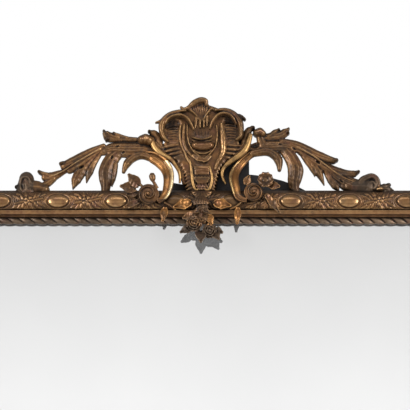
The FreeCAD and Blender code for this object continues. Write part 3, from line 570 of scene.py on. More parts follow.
# %% Shells into a mesh
def shell_mesh(name, shells):
    """Puts shells into one mesh, in metres, with all faces turned outwards."""
    mesh = bpy.data.meshes.new(name)
    points, faces, offset = [], [], 0
    for shell_points, shell_faces, *_ in shells:
        points.append(np.asarray(shell_points) * MM)
        faces += [tuple(i + offset for i in face) for face in shell_faces]
        offset += len(shell_points)
    mesh.from_pydata(np.concatenate(points).tolist(), [], faces)
    edit = bmesh.new()
    edit.from_mesh(mesh)
    bmesh.ops.recalc_face_normals(edit, faces=edit.faces)
    edit.to_mesh(mesh)
    edit.free()
    return mesh


def melted(piece, voxel):
    """Gives a piece one closed skin in place of its shells."""
    shells = piece.data
    melt = piece.modifiers.new("melt", "REMESH")
    melt.mode = "VOXEL"
    melt.voxel_size = voxel * MM
    skin = bpy.data.meshes.new_from_object(piece.evaluated_get(bpy.context.evaluated_depsgraph_get()))
    piece.modifiers.clear()
    piece.data = skin
    bpy.data.meshes.remove(shells)
    skin.name = piece.name
    return skin


def repaint(piece, finish, chosen):
    """Adds a finish and gives it to the faces that are chosen by place and by the way they face."""
    mesh = piece.data
    mesh.materials.append(finish)
    for face in mesh.polygons:
        x, y, z = (c / MM for c in face.center)
        if chosen(face, x, y, z - RAIL_TOP):
            face.material_index = len(mesh.materials) - 1


print("mesh makers ready: shell_mesh, melted, repaint")

# %% Piece maker
BACK_SQUARE, BACK_TURNED = 0.8, 0.3


def make_piece(name, shells, nodes, finish=GILT, voxel=1.2, rounds=2, back=None,
               hollow=(10, 1.2), reverse=None):
    """Makes one carved piece that stands for CAD nodes. voxel=None keeps the shells as they are.

    back is the depth behind which flat faces are raw wood; reverse is the finish of all that faces the wall.
    """
    mesh = shell_mesh(name, shells)
    piece = bpy.data.objects.new(name, mesh)
    bpy.context.scene.collection.objects.link(piece)
    if voxel:
        mesh = melted(piece, voxel)
    if rounds:
        soften(mesh, rounds)
    mesh.polygons.foreach_set("use_smooth", [True] * len(mesh.polygons))
    mark_hollows(mesh, *hollow)
    if len(shells[0]) == 3:
        store(mesh, "stain_and_shade", np.concatenate([shell[2] for shell in shells]))
    mesh.materials.clear()
    mesh.materials.append(finish)
    if back is not None:
        repaint(piece, RAW_BACK, lambda face, x, y, z: face.normal.y > BACK_SQUARE and y > back)
    # What faces the wall takes the reverse finish; on the bouquets and pendant that is dark grey painted
    # shade.
    if reverse is not None:
        repaint(piece, reverse, lambda face, x, y, z: face.normal.y > BACK_TURNED)
    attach(piece, "mirror")
    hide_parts(*nodes)
    print(f"{name}: {len(mesh.polygons)} faces")
    return piece


# %% [markdown]
# ## Carving tools: relief sawn from a board
# A pierced crest starts as a drawing on a board. The carver saws the outline, lowers the ground and then
# models each leaf with long strokes of the gouge. The same is done here with numbers: a stroke is a line
# with a half width and a height at each of its places, and a section across it. On a fine grid the highest
# stroke wins, the outline is where the strokes end, and the grid's outermost points are drawn onto that
# outline so that it comes out smooth.

# %% Sections of a stroke: height from 0 to 1 across v = -1..1, at t = 0..1 along it
def leaf_profile(flutes, cut=0.11, edge=0.4):
    """An arch with gouged flutes that run out at both ends of the leaf."""
    root, tip = 0.15, 0.12

    def profile(v, t):
        arch = edge + (1 - edge) * np.sqrt(np.clip(1 - v ** 2, 0, 1))
        fade = np.clip(np.minimum(t / root, (1 - t) / tip), 0, 1)
        if flutes == 1:
            return arch - cut * fade * np.exp(-(v / 0.3) ** 2)
        return arch * (1 - cut * fade * np.abs(np.sin(math.pi * flutes * (v + 1) / 2)) ** 0.9)
    return profile


def round_profile(edge):
    """A round arch that starts from a share of its height."""
    return lambda v, t: edge + (1 - edge) * np.sqrt(np.clip(1 - v ** 2, 0, 1))


PROFILES = {
    "leaf1": leaf_profile(1), "leaf2": leaf_profile(2), "leaf3": leaf_profile(3), "leaf5": leaf_profile(5),
    "veined": leaf_profile(6, 0.24), "roll": round_profile(0.3), "tip": round_profile(0.3),
    "ball": round_profile(0.15), "bead": round_profile(0.15), "swell": round_profile(0.75),
    "body": round_profile(0.8),
}
print("sections of a stroke:", ", ".join(PROFILES))


# %% Strokes on a grid
FAR = 999.0
OVERLAP = 2.5


def stroke_fields(strokes, x, z):
    """Distance to the outline (negative inside), height, and the stain and painted shade of the strokes at
    the places x, z.
    """
    edge, height, stain_and_shade = np.full(x.shape, FAR), np.zeros(x.shape), np.zeros(x.shape)
    for line, radii, heights, kind in strokes:
        rough = sum(math.dist(a, b) for a, b in zip(line, line[1:]))
        places, share = smooth_line([(a, 0.0, b) for a, b in line], max(4, int(rough)))
        ahead = unit(np.gradient(places, axis=0))
        reach = max(radii) + 4.0
        near_by = ((x > places[:, 0].min() - reach) & (x < places[:, 0].max() + reach)
                   & (z > places[:, 2].min() - reach) & (z < places[:, 2].max() + reach))
        if not near_by.any():
            continue
        dx, dz = x[near_by][:, None] - places[:, 0], z[near_by][:, None] - places[:, 2]
        apart = dx ** 2 + dz ** 2
        at = apart.argmin(axis=1)
        row = np.arange(len(at))
        apart = np.sqrt(apart[row, at])
        if kind == "body":
            apart = np.abs(dx[row, at])
        side = np.where(dx[row, at] * ahead[at, 2] - dz[row, at] * ahead[at, 0] < 0, -1.0, 1.0)
        half = np.interp(share[at], np.arange(len(radii)), radii)
        rise = np.interp(share[at], np.arange(len(heights)), heights)
        v = np.clip(side * apart / np.maximum(half, 0.3), -1, 1)
        level = np.where(apart < half + OVERLAP, rise * PROFILES[kind](v, at / (len(places) - 1)), 0.0)
        past = np.maximum(dz.min(axis=1), -dz.max(axis=1)) if kind == "body" else -FAR
        edge[near_by] = np.minimum(edge[near_by], np.maximum(apart - half, past))
        height[near_by] = np.maximum(height[near_by], level)
        # Tips are darkened as painted shade, for the shadow under a curled tip.
        if kind == "tip":
            stain_and_shade[near_by] = np.maximum(stain_and_shade[near_by], np.clip(1.3 - apart / (half + OVERLAP), 0, 1))
    return edge, height, stain_and_shade


LEAF_TEST = [([(0, 0), (20, 0)], [6, 6], [10, 10], "leaf1")]
leaf_height = stroke_fields(LEAF_TEST, np.array([10.0]), np.array([3.0]))[1][0]
print("stroke test: a leaf 10 mm high stands", round(float(leaf_height), 1), "mm halfway to its edge")

# %% Face of the board
CORNERS = ((0, 0), (1, 0), (1, 1), (0, 1))
BLUR = [(i, j, (2 - abs(i)) * (2 - abs(j))) for i in (0, 1, -1) for j in (0, 1, -1)]
THINNEST, RIPPLE, JUST_OUTSIDE = 1.5, 0.3, 1.5


def blurred(field, known, times=2):
    """Softens a field a little, using only the places that are known."""
    weight = known.astype(float)
    for _ in range(times):
        total, share = np.zeros_like(field), np.zeros_like(field)
        for i, j, part in BLUR:
            total += part * np.roll(field * weight, (i, j), (0, 1))
            share += part * np.roll(weight, (i, j), (0, 1))
        field = np.where(known, total / np.maximum(share, 1e-6), field)
    return field


def board_grid(strokes, step):
    """The points of a square grid that covers all the strokes."""
    spots = np.concatenate([np.array(line, float) for line, *_ in strokes])
    margin = max(max(radii) for _, radii, *_ in strokes) + 3 * step
    low, high = spots.min(axis=0) - margin, spots.max(axis=0) + margin
    return np.meshgrid(np.arange(low[0], high[0], step), np.arange(low[1], high[1], step), indexing="ij")


def board_face(strokes, x, z, ground, pits):
    """Distance to the outline, height, and stain and painted shade: strokes on their ground, pits, and a
    hand's unevenness.
    """
    edge, height, stain_and_shade = stroke_fields(strokes, x, z)
    if ground is not None:
        height = height + ground(x, z)
    for px, pz, long, wide, lean, depth, dark in pits:
        cos, sin = math.cos(math.radians(lean)), math.sin(math.radians(lean))
        along, across = (x - px) * cos + (z - pz) * sin, (z - pz) * cos - (x - px) * sin
        dip = np.clip(1 - (along / long) ** 2 - (across / wide) ** 2, 0, 1)
        height, stain_and_shade = height - depth * dip, np.maximum(stain_and_shade, dark * np.sqrt(dip))
    height = blurred(height, edge < JUST_OUTSIDE)
    uneven = RIPPLE * np.sin(0.37 * x + 0.21 * z) * np.sin(0.29 * z - 0.17 * x)
    return edge, np.maximum(height + uneven, THINNEST), stain_and_shade


print("board test: a grid of", board_grid(LEAF_TEST, 1.0)[0].shape, "points takes that leaf")

# %% Outline of the board
def sawn_cells(inside):
    """The cells of the grid that stay, and those added so that no two cells meet at a corner only."""
    cell = inside[:-1, :-1] | inside[1:, :-1] | inside[1:, 1:] | inside[:-1, 1:]
    for _ in range(20):
        one = cell[:-1, :-1] & cell[1:, 1:] & ~cell[1:, :-1] & ~cell[:-1, 1:]
        two = ~cell[:-1, :-1] & ~cell[1:, 1:] & cell[1:, :-1] & cell[:-1, 1:]
        cell[1:, :-1] |= one
        cell[:-1, :-1] |= two
    return cell


def drawn_to_outline(x, z, edge, used, step):
    """Moves the outermost points along the slope of the distance, onto the outline."""
    slope_x, slope_z = np.gradient(edge, step)
    slope = np.hypot(slope_x, slope_z) + 1e-6
    pull = np.where(used & (edge > -0.2 * step), np.clip(edge / slope, -step, 1.2 * step), 0.0)
    return x - slope_x / slope * pull, z - slope_z / slope * pull


print("outline test:", int(sawn_cells(np.eye(4) > 0).sum()), "of 9 cells stay along a slanting line")

# %% The sawn and carved board
UNDER_FACE, ABOVE_BACK = 1.4, 1.2


def relief(strokes, back, ground=None, step=1.0, pits=()):
    """One closed shell: outline and face from the strokes (heights above the rail's top edge), flat back."""
    x, z = board_grid(strokes, step)
    edge, height, stain_and_shade = board_face(strokes, x, z, ground, pits)
    cell = sawn_cells(edge < 0)
    rows, cols = cell.shape
    used = np.zeros(x.shape, bool)
    for i, j in CORNERS:
        used[i:i + rows, j:j + cols] |= cell
    x, z = drawn_to_outline(x, z, edge, used, step)
    count = int(used.sum())
    number = np.full(x.shape, -1)
    number[used] = np.arange(count)
    a, b, c, d = (number[i:i + rows, j:j + cols][cell] for i, j in CORNERS)
    padded = np.pad(cell, 1)
    beside = padded[1:-1, :-2], padded[2:, 1:-1], padded[1:-1, 2:], padded[:-2, 1:-1]
    walls = []
    for p, q, neighbour in zip((a, b, c, d), (b, c, d, a), beside):
        bare = ~neighbour[cell]
        walls.append(np.stack([p[bare], q[bare]], axis=1))
    p, q = np.concatenate(walls).T
    rim = np.unique(np.concatenate(walls))
    lower = np.full(count, -1)
    lower[rim] = np.arange(len(rim))
    tall = height[used]
    flat = np.stack([x[used], np.zeros(count), z[used] + RAIL_TOP], axis=1)
    layers = [flat - np.array([0, 1, 0]) * (back + tall)[:, None]]
    # The sawn wall has a ring just under the face and one just above the back, so both edges look eased
    for level in (np.maximum(tall - UNDER_FACE, 0.6 * tall), np.minimum(ABOVE_BACK, 0.3 * tall)):
        layers.append((flat - np.array([0, 1, 0]) * (back + level)[:, None])[rim])
    layers.append(flat - np.array([0, back, 0]))
    second, third = count + lower, count + len(rim) + lower
    last = count + 2 * len(rim)
    steps = [(p, q), (second[p], second[q]), (third[p], third[q]), (last + p, last + q)]
    faces = [np.stack([a, b, c, d], axis=1), np.stack([d, c, b, a], axis=1) + last]
    for (p0, q0), (p1, q1) in zip(steps, steps[1:]):
        faces.append(np.stack([q0, p0, p1, q1], axis=1))
    stains_and_shade = np.concatenate([stain_and_shade[used], stain_and_shade[used][rim], stain_and_shade[used][rim], stain_and_shade[used]])
    return np.concatenate(layers), [tuple(f) for f in np.concatenate(faces).tolist()], stains_and_shade


print("relief test: the leaf has", len(relief(LEAF_TEST, 0.0)[1]), "faces")

# %% Helper forms: a fluted leaf on a free line, and a rolled scroll end
def finger(points, widths, flutes, cut):
    """One fluted leaf along a free line."""
    return sweep(points, widths, leaf_section(flutes, max(widths), 3.0, 4.0, cut), 44)


def disc_ring(centre, radius, height, turn):
    """A ring of points round the front-to-back axis."""
    return np.stack([centre[0] + radius * np.cos(turn),
                     centre[1] - height,
                     centre[2] + radius * np.sin(turn)], axis=1)


def curl(centre, radius, rise, side, start, bands, ridge):
    """A rolled scroll end: a low dome whose face carries one spiral ridge that winds in to the eye."""
    turn = np.linspace(0, 2 * math.pi, 96, endpoint=False)
    rings = [disc_ring(centre, radius, np.zeros(96), turn)]
    for share in np.linspace(1.0, 0.05, 30):
        phase = ((1 - share) * bands - side * (turn / (2 * math.pi) - start)) % 1.0
        crest = np.clip(1 - (np.minimum(phase, 1 - phase) / 0.2) ** 2, 0, 1)
        height = rise * (0.42 + 0.34 * (1 - share)) + ridge * crest * min(1.0, 3 * share)
        height = height + rise * 0.22 * max(0.0, 1 - (share / 0.22) ** 2)
        rings.append(disc_ring(centre, share * radius, height, turn))
    return ring_shell(rings)


print("carving tools ready: sweep, lathe, slab, relief, finger, curl")

# %% [markdown]
# ## The frame's moulding
# Each side is one section run along its length and cut to a mitre at both ends. A modifier could repeat a
# short piece, but the mitres would need cutting; a row of rings that shrink towards the sight edge has them
# already. The section follows the construction model, with a raised lip at the outer edge and the band set
# a little further in. Its arrises are eased by a short curve, because gesso never leaves a knife edge. Lip,
# band and cove are plain and polished, the sight edge is painted black as a painted shade line below the
# bead, and the back stays bare wood.

# %% Section of the moulding
def arc_through(a, b, c, count):
    """Points on the circle through three places of a section."""
    (ax, ay), (bx, by), (cx, cy) = a, b, c
    d = 2 * (ax * (by - cy) + bx * (cy - ay) + cx * (ay - by))
    aa, bb, cc = ax ** 2 + ay ** 2, bx ** 2 + by ** 2, cx ** 2 + cy ** 2
    ux = (aa * (by - cy) + bb * (cy - ay) + cc * (ay - by)) / d
    uy = (aa * (cx - bx) + bb * (ax - cx) + cc * (bx - ax)) / d
    radius = math.hypot(ax - ux, ay - uy)
    first, middle, last = (math.atan2(y - uy, x - ux) for x, y in (a, b, c))
    if not min(first, last) <= middle <= max(first, last):
        last += 2 * math.pi if last < first else -2 * math.pi
    turn = np.linspace(first, last, count)
    return np.stack([ux + radius * np.cos(turn), uy + radius * np.sin(turn)], axis=1), (ux, uy, radius)


def eased(points, radius=0.8):
    """Rounds each corner of an open line of section points with a short curve."""
    done = [points[0]]
    for before_, here, after in zip(points, points[1:], points[2:]):
        before_, here, after = (np.array(v, float) for v in (before_, here, after))
        one, two = unit(before_ - here), unit(after - here)
        reach = min(radius, np.linalg.norm(before_ - here) / 2, np.linalg.norm(after - here) / 2)
        for t in (0.0, 0.5, 1.0):
            done.append(here + one * reach * (1 - t) ** 2 + two * reach * t ** 2)
    done.append(points[-1])
    return np.array(done)


LIP, QUIRK_IN, BAND_IN, BAND_OUT, SEAT_IN = 4.5, 49.0, 51.0, 61.0, 65.5
LIP_H, FRIEZE_H, QUIRK_H, BAND_H, COVE_H, SEAT_H, REBATE_H = 26.0, 50.5, 47.5, 58.0, 45.0, 36.0, 26.0
FRIEZE, FRIEZE_CIRCLE = arc_through((-LIP, LIP_H), (20.0, 53.8), (QUIRK_IN, FRIEZE_H), 28)
COVE, _ = arc_through((BAND_OUT, BAND_H), (62.6, 49.0), (SEAT_IN, COVE_H), 8)
front_line = np.concatenate([
    eased([(0, 0), (0, 12), (-LIP, 19), (-LIP, LIP_H), tuple(FRIEZE[1])]), FRIEZE[2:-1],
    eased([tuple(FRIEZE[-2]), (QUIRK_IN, FRIEZE_H), (QUIRK_IN, QUIRK_H), (BAND_IN, QUIRK_H),
           (BAND_IN, BAND_H), (BAND_OUT, BAND_H), tuple(COVE[1])]), COVE[2:-1],
    eased([tuple(COVE[-2]), (SEAT_IN, COVE_H), (SEAT_IN, SEAT_H), (RAIL_W, SEAT_H), (RAIL_W, REBATE_H)],
          0.6)])
back_line = np.array([(68, REBATE_H), (68, 14), (56, 14), (56, 0)], float)
print("moulding section:", len(front_line), "points in front,", len(back_line), "behind")

# %% Run the four sides
SIDES = {"top": (FRAME_W, FRAME_H, 0), "right": (FRAME_H, FRAME_W, 90), "bottom": (FRAME_W, FRAME_H, 180),
         "left": (FRAME_H, FRAME_W, 270)}


def to_side(points, side):
    """Turns points made along the top side to another side; they are x, y and distance inwards."""
    half, turn = SIDES[side][1] / 2, math.radians(SIDES[side][2])
    points = np.asarray(points, float)
    x, y, z = points[..., 0], points[..., 1], half - points[..., 2]
    cos, sin = math.cos(turn), math.sin(turn)
    return np.stack([x * cos + z * sin, y, z * cos - x * sin + CENTRE_Z], axis=-1)


def moulding_finish(s, h):
    """Which finish the front of the section has: 2 plain band, 3 sight edge painted black as painted shade,
    0 aged gilding.
    """
    if s < 2.0 or (BAND_IN + 0.3 < s < SEAT_IN - 0.5 and h > COVE_H + 0.5):
        return 2
    # The sight edge's wall is black: a painted shade line below the bead.
    return 3 if s > RAIL_W - 0.5 else 0


def run_moulding(side):
    """One side of the frame, mitred, with the finishes of its front and back."""
    line = np.concatenate([front_line, back_line])
    reach = SIDES[side][0] / 2 - line[:, 0]
    rings = [np.stack([reach * share, -line[:, 1], line[:, 0]], axis=1) for share in np.linspace(-1, 1, 25)]
    shell = ring_shell([to_side(ring, side) for ring in rings])
    lying = side in ("top", "bottom")
    name = f"{side}_rail" if lying else f"{side}_stile"
    piece = make_piece(f"gilt_{name}", [shell], [name], voxel=None, rounds=0,
                       hollow=(2, 1.2))
    mesh = piece.data
    for finish in (PINE_ALONG if lying else PINE_UPRIGHT, BAND_GILT, BLACK):
        mesh.materials.append(finish)
    for face in mesh.polygons:
        at = face.index % len(line)
        end_grain = face.index >= (len(rings) - 1) * len(line)
        face.material_index = 1 if end_grain or at >= len(front_line) - 1 else moulding_finish(*line[at])
    edit = bmesh.new()
    edit.from_mesh(mesh)
    for edge in edit.edges:
        edge.smooth = edge.calc_face_angle(0.0) < math.radians(38)
    edit.to_mesh(mesh)
    edit.free()


for side in SIDES:
    run_moulding(side)

# %% [markdown]
# ## The frieze
# The round frieze carries polished oval bosses, each in a sunk oval with a raised rim, and between them a
# five-petalled flower with leaf sprays on a ribbed ground. It was cast in long strips and laid on. Copies
# of one modelled flower would have to be bent to the round. A strip is made as it was cast: a grid on the
# round of the frieze, raised by a height that a few formulas give. The low ground between the leaves is
# stored darker, and a painted shade is stored on the middle of the top side, under the crest.

# %% Height of the frieze's relief
PITCH, FRIEZE_MIDDLE, OVAL_LONG, OVAL_WIDE = 140.0, 28.0, 24.5, 15.5
CLEAR_OF_BOSS, LOW_GROUND = 1.5, 1.4
BOSS_STEP, BOSS_RISE, PETAL_RISE, EYE_RISE, LEAF_RISE, LEAF_HALF = 1.2, 6.4, 4.4, 4.6, 3.4, 5.4


def bead(distance, width):
    """A round bead: 1 on its line, 0 past its half width."""
    return np.sqrt(np.clip(1 - (distance / width) ** 2, 0, 1))


def lens(along, across, length, width):
    """A pointed leaf with a raised midrib."""
    edge = np.clip(1 - (along / length) ** 2, 0, 1) * width
    body = np.clip(1 - (across / np.maximum(edge, 1e-3)) ** 2, 0, 1) ** 0.5 * (edge > 0.2)
    return body * (0.74 + 0.26 * bead(across, 1.5))


# Leaves beside a flower: slope, half length, place along and place across
SPRAYS = ((-0.25, 13.0, 22.0, -3.0), (0.95, 8.0, 17.0, 7.0), (0.65, 9.0, 27.0, 6.0),
          (0.4, 8.0, 37.0, 9.0), (-1.2, 7.0, 14.0, -9.0), (-0.9, 8.0, 23.0, -11.0),
          (-0.55, 8.0, 33.0, -11.0), (0.1, 6.0, 38.0, -3.0), (1.2, 7.0, 8.0, 13.0),
          (0.2, 7.0, 26.0, 13.0))


def spray_height(x, v):
    """Height of the leaves beside a flower; each leaf is repeated half a turn on."""
    height = np.zeros_like(x)
    for slope, length, at, drop in SPRAYS:
        cos, sin = math.cos(slope), math.sin(slope)
        for turned in (1, -1):
            dx, dv = x - turned * at, v - turned * 1.25 * drop
            leaf = lens(dx * cos + dv * sin, dv * cos - dx * sin, length, LEAF_HALF)
            height = np.maximum(height, LEAF_RISE * leaf)
    return height


def frieze_relief(u, s):
    """Height above the plain frieze, and distance from the boss: u runs along from a boss, s inwards."""
    u = (u + PITCH / 2) % PITCH - PITCH / 2
    v = s - FRIEZE_MIDDLE
    q = np.sqrt((u / OVAL_LONG) ** 2 + (v / OVAL_WIDE) ** 2)
    boss = np.where(q < 1, BOSS_STEP + BOSS_RISE * np.sqrt(np.clip(1 - q ** 2, 0, 1)), 0.0)
    rims = np.where(q > 1.14, 0.6 + 0.65 * (1 + np.cos(2 * math.pi * (q - 1.24) / 0.185)), 0.0)
    sunk = -1.6 * np.clip(1 - np.abs(q - 1.06) / 0.08, 0, 1)
    x = u % PITCH - PITCH / 2
    reach, angle = np.hypot(x, v), np.arctan2(v, x)
    lobes = 0.3 + 0.7 * np.abs(np.cos(2.5 * angle))
    petals = PETAL_RISE * bead(reach - 7.0, 5.8) * lobes * (reach < 12.8)
    eye = EYE_RISE * bead(reach, 3.4)
    sprays = np.where(q > CLEAR_OF_BOSS, spray_height(x, v), 0)
    raised = np.maximum.reduce([boss, rims, petals, eye, sprays])
    inside = np.clip(np.minimum((s - 4.0) / 2.5, (48.4 - s) / 1.2), 0, 1)
    return (raised + sunk) * inside + 0.25, q


boss_height = frieze_relief(np.array([0.0]), np.array([FRIEZE_MIDDLE]))[0][0]
print("a boss stands", round(float(boss_height), 2), "mm above the plain frieze")

# %% Lay the strips on the four sides
CREST_SHADE, CREST_SHADE_HALF, CREST_SHADE_FADE, POLISHED = 0.7, 115, 30, 0.97


def frieze_strip(side, boss_at_middle, end):
    """The ornament of one side: a boss or a flower lies at its middle."""
    ux, uy, radius = FRIEZE_CIRCLE
    first, last = (math.atan2(y - uy, x - ux) for x, y in (FRIEZE[2], FRIEZE[-1]))
    along = np.linspace(-end, end, int(2 * end / 1.3))
    u, a = np.meshgrid(along, np.linspace(first, last, 44), indexing="ij")
    height, from_boss = frieze_relief(u + (0 if boss_at_middle else PITCH / 2), ux + radius * np.cos(a))
    grow = radius + height * np.clip((end - np.abs(u)) / 2, 0.1, 1)
    section = np.stack([u, -(uy + grow * np.sin(a)), ux + grow * np.cos(a)], axis=-1)
    # Painted shade under the crest on the middle of the top side; the low ground between the leaves is
    # stored darker.
    shaded = np.clip((CREST_SHADE_HALF - np.abs(u)) / CREST_SHADE_FADE, 0, CREST_SHADE if side == "top" else 0.0)
    ground = 0.38 * np.clip(1.3 - height / LOW_GROUND, 0, 1)
    shaded = np.maximum(shaded, np.where(from_boss > CLEAR_OF_BOSS, ground, 0))
    shell = (*ring_shell(to_side(section, side)), shaded.ravel())
    piece = make_piece(f"frieze_{side}", [shell], [f"oval_bosses_{side}", f"frieze_flowers_{side}"],
                       voxel=None, rounds=0, hollow=(8, 1.6))
    piece.data.materials.append(LEAF_GILT)
    polished = np.append((from_boss[:-1] < POLISHED).ravel(), [False, False])
    piece.data.polygons.foreach_set("material_index", polished.astype(np.int32))


for side, boss_at_middle, end in (("top", False, 532.0), ("bottom", False, 532.0), ("left", True, 742.0),
                                  ("right", True, 742.0)):
    frieze_strip(side, boss_at_middle, end)

# %% [markdown]
# ## The twisted bead
# Along the sight edge runs a bead carved as a twisted ribbon. It could be a rope of real strands, but a
# carver only cuts slanting hollows into a round bead. So its round section keeps its seat, while the height
# of the strands follows a wave that runs along the bead and round it at once, which is all that a twist is.

# %% Twisted bead
TWIST, SLANT, BEAD_MIDDLE, BEAD_HALF, BEAD_SIDE, BEAD_CROWN = 26.4, 0.75, 73.9, 8.2, 3.0, 6.0


def twisted_bead(side):
    """The bead of one side, mitred like the moulding under it."""
    half_len = SIDES[side][0] / 2
    round_ = np.linspace(0, math.pi, 15)
    plain = BEAD_MIDDLE - BEAD_HALF * np.cos(round_)
    rings = []
    for part in np.linspace(-1, 1, int(2 * half_len / 1.6)):
        u_row = part * (half_len - plain)
        wave = (u_row / TWIST - round_ / math.pi * SLANT) % 1.0
        strand = np.clip(1 - (2 * wave - 1) ** 2, 0, 1) ** 0.8
        groove = 0.25 + 0.75 * strand
        s_row = BEAD_MIDDLE - BEAD_HALF * np.cos(round_) * (0.76 + 0.24 * strand)
        h_row = SEAT_H + BEAD_SIDE * (np.sin(round_) > 0.01) + BEAD_CROWN * np.sin(round_) * groove
        rings.append(to_side(np.stack([u_row, -h_row, s_row], axis=1), side))
    make_piece(f"bead_{side}", [ring_shell(rings)], [f"twisted_bead_{side}"], DULL_GILT,
               voxel=None, rounds=0, hollow=(5, 0.9))


for side in SIDES:
    twisted_bead(side)

# %% [markdown]
# ## Acanthus sprays
# Each side of the crest is one pierced spray: an arm that leaves the cartouche, leaves that fall away to
# the end of the rail, a leg that stands on it, a hanging drop, a crowning leaf and a round knob. The tips
# of the upper leaves curl forward and are darkened as painted shade, for the shadow under the curl; they
# are short strokes of their own, marked as tips. Small pits are the eyes that a carver drills where two
# lobes part. A thin rib along the longest leaf is rubbed bright, and what hangs low is darkened as painted
# shade.

# %% Painted shade on the parts that hang low, and the rib that shines
SHADE_DEPTH, SHADE_MOST, RIB_REACH = 18, 0.4, 1.9
MIDRIB_LEFT = [(-252, 108), (-282, 90), (-310, 73), (-330, 59), (-352, 46), (-374, 38)]
MIDRIB_RIGHT = [(228, 112), (262, 93), (294, 70), (320, 49), (344, 34), (364, 26)]


def shade_below(piece, line):
    """Adds painted shade under a line that is drawn across and up from the middle of the rail's top edge."""
    mesh = piece.data
    stain_and_shade = np.empty(len(mesh.vertices))
    mesh.attributes["stain_and_shade"].data.foreach_get("value", stain_and_shade)
    x, _, z = mesh_places(mesh).T / MM
    below = np.interp(x, *zip(*line), left=-99, right=-99) + RAIL_TOP - z
    store(mesh, "stain_and_shade", np.maximum(stain_and_shade, SHADE_MOST * np.clip(below / SHADE_DEPTH, 0, 1)))


def midrib(line):
    """The thin raised rib along the middle of a long leaf, as a stroke."""
    return (line, [1.0, 1.7, 1.9, 1.9, 1.7, 1.0], [17, 19.5, 20.5, 20.5, 20, 18], "bead")


def carved_spray(side, strokes, pits, shade_line, rib):
    """One spray; its rib gets the rubbed gilding, because dusters and fingers reach it first."""
    board = relief([*strokes, midrib(rib)], CREST_BACK + 2, pits=pits)
    spray = make_piece(f"spray_{side}", [board], [f"acanthus_spray_{side}"], voxel=None, back=-21)
    shade_below(spray, shade_line)
    route, _ = smooth_line([(x, z, 0.0) for x, z in rib], 120)
    repaint(spray, LEAF_GILT, lambda face, x, y, z: face.material_index == 0
            and np.hypot(*(route[:, :2] - (x, z)).T).min() < RIB_REACH)


print("rubbed ribs have", len(MIDRIB_LEFT), "and", len(MIDRIB_RIGHT), "places")

# %% Left spray: places across and up from the middle of the rail's top edge, half widths, heights, section
SPRAY_LEFT = [
    ([(-114, 102), (-135, 106), (-155, 107), (-178, 106), (-203, 107), (-228, 107), (-247, 102)],
     [8, 14, 19, 19.5, 18.5, 16, 9], [8, 10, 14, 16, 17, 16, 12], "leaf5"),
    ([(-201, 103), (-220, 88), (-233, 67), (-238, 49), (-238, 29), (-238, 13), (-239, -3)],
     [11.1, 17.3, 17.8, 18.3, 15.8, 11.4, 9.9], [14, 18, 20, 20, 17, 14, 13], "leaf3"),
    ([(-217, 70), (-219, 49), (-221, 32), (-223, 15)], [8.4, 8.4, 6.4, 1.0], [15, 15, 13, 9], "leaf2"),
    ([(-241, 0), (-250, -3), (-259, -4)], [5.9, 4.0, 1.2], [12, 10, 8], "leaf1"),
    ([(-157, 132), (-196, 134), (-220, 136), (-236, 139), (-242, 147)], [6, 8, 10.5, 10, 6],
     [14, 15, 17, 19, 20], "leaf3"),
    ([(-187, 136), (-208, 142), (-218, 147)], [5, 6, 3.5], [15, 17, 19], "leaf1"),
    ([(-210, 137), (-228, 142), (-236, 148)], [8, 9, 6], [17, 19, 20], "leaf2"),
    ([(-243, 151), (-244, 153)], [4, 4], [23, 24], "tip"),
    ([(-236, 132), (-238, 130)], [4, 3.5], [20, 20], "tip"),
    ([(-219, 148), (-220, 149)], [3.2, 3], [20, 21], "tip"),
    ([(-150, 131), (-142, 132), (-133, 129)], [13, 15, 13], [26, 31, 26], "ball"),
    ([(-134, 152), (-124, 149), (-112, 136), (-105, 115)], [3, 9, 12, 6], [14, 15, 12, 9], "leaf2"),
    ([(-133, 154), (-131, 153)], [4, 4], [17, 17], "tip"),
    ([(-111, 79), (-130, 88), (-152, 94), (-171, 88), (-187, 72), (-195, 52)],
     [9, 10, 10.5, 10.5, 9.5, 4.5], [12, 14, 15, 15, 15, 11], "leaf3"),
    ([(-245, 117), (-272, 102), (-298, 87), (-322, 74), (-339, 66)], [6, 11, 13, 13, 11],
     [13, 16, 17, 17, 17], "leaf3"),
    ([(-342, 72), (-348, 71)], [6, 5], [21, 22], "tip"),
    ([(-247, 111), (-279, 87), (-306, 68), (-327, 56)], [6, 11, 12, 9], [12, 16, 17, 14], "leaf3"),
    ([(-251, 107), (-282, 76), (-300, 51), (-311, 29), (-318, 8)], [6, 11, 14, 12, 1], [11, 14, 15, 15, 12],
     "leaf3"),
    ([(-252, 98), (-271, 70), (-279, 51), (-285, 25)], [5, 9, 10, 1.5], [10, 12, 12, 10], "leaf2"),
    ([(-333, 55), (-354, 46), (-373, 38), (-386, 37)], [4, 9, 12.5, 9], [12, 14, 16, 15], "leaf3"),
    ([(-381, 44), (-391, 46), (-398, 49)], [6, 5.5, 5], [16, 18, 20], "leaf1"),
    ([(-398, 49), (-401, 51)], [5, 4], [21, 22], "tip"),
    ([(-365, 34), (-378, 24), (-391, 16)], [7, 9, 8], [14, 15, 15], "leaf2"),
]
PITS_LEFT = [(-297, 62, 8, 2.8, 35, 7, 0.9), (-210, 114, 7, 2.4, 18, 4, 0.4),
             (-223, 86, 6, 2.6, 60, 5, 0.5), (-196, 98, 6, 2.4, 40, 4, 0.5)]
carved_spray("left", SPRAY_LEFT, PITS_LEFT,
             [(-330, 58), (-262, 74), (-258, 88), (-205, 94), (-190, 64)], MIDRIB_LEFT)

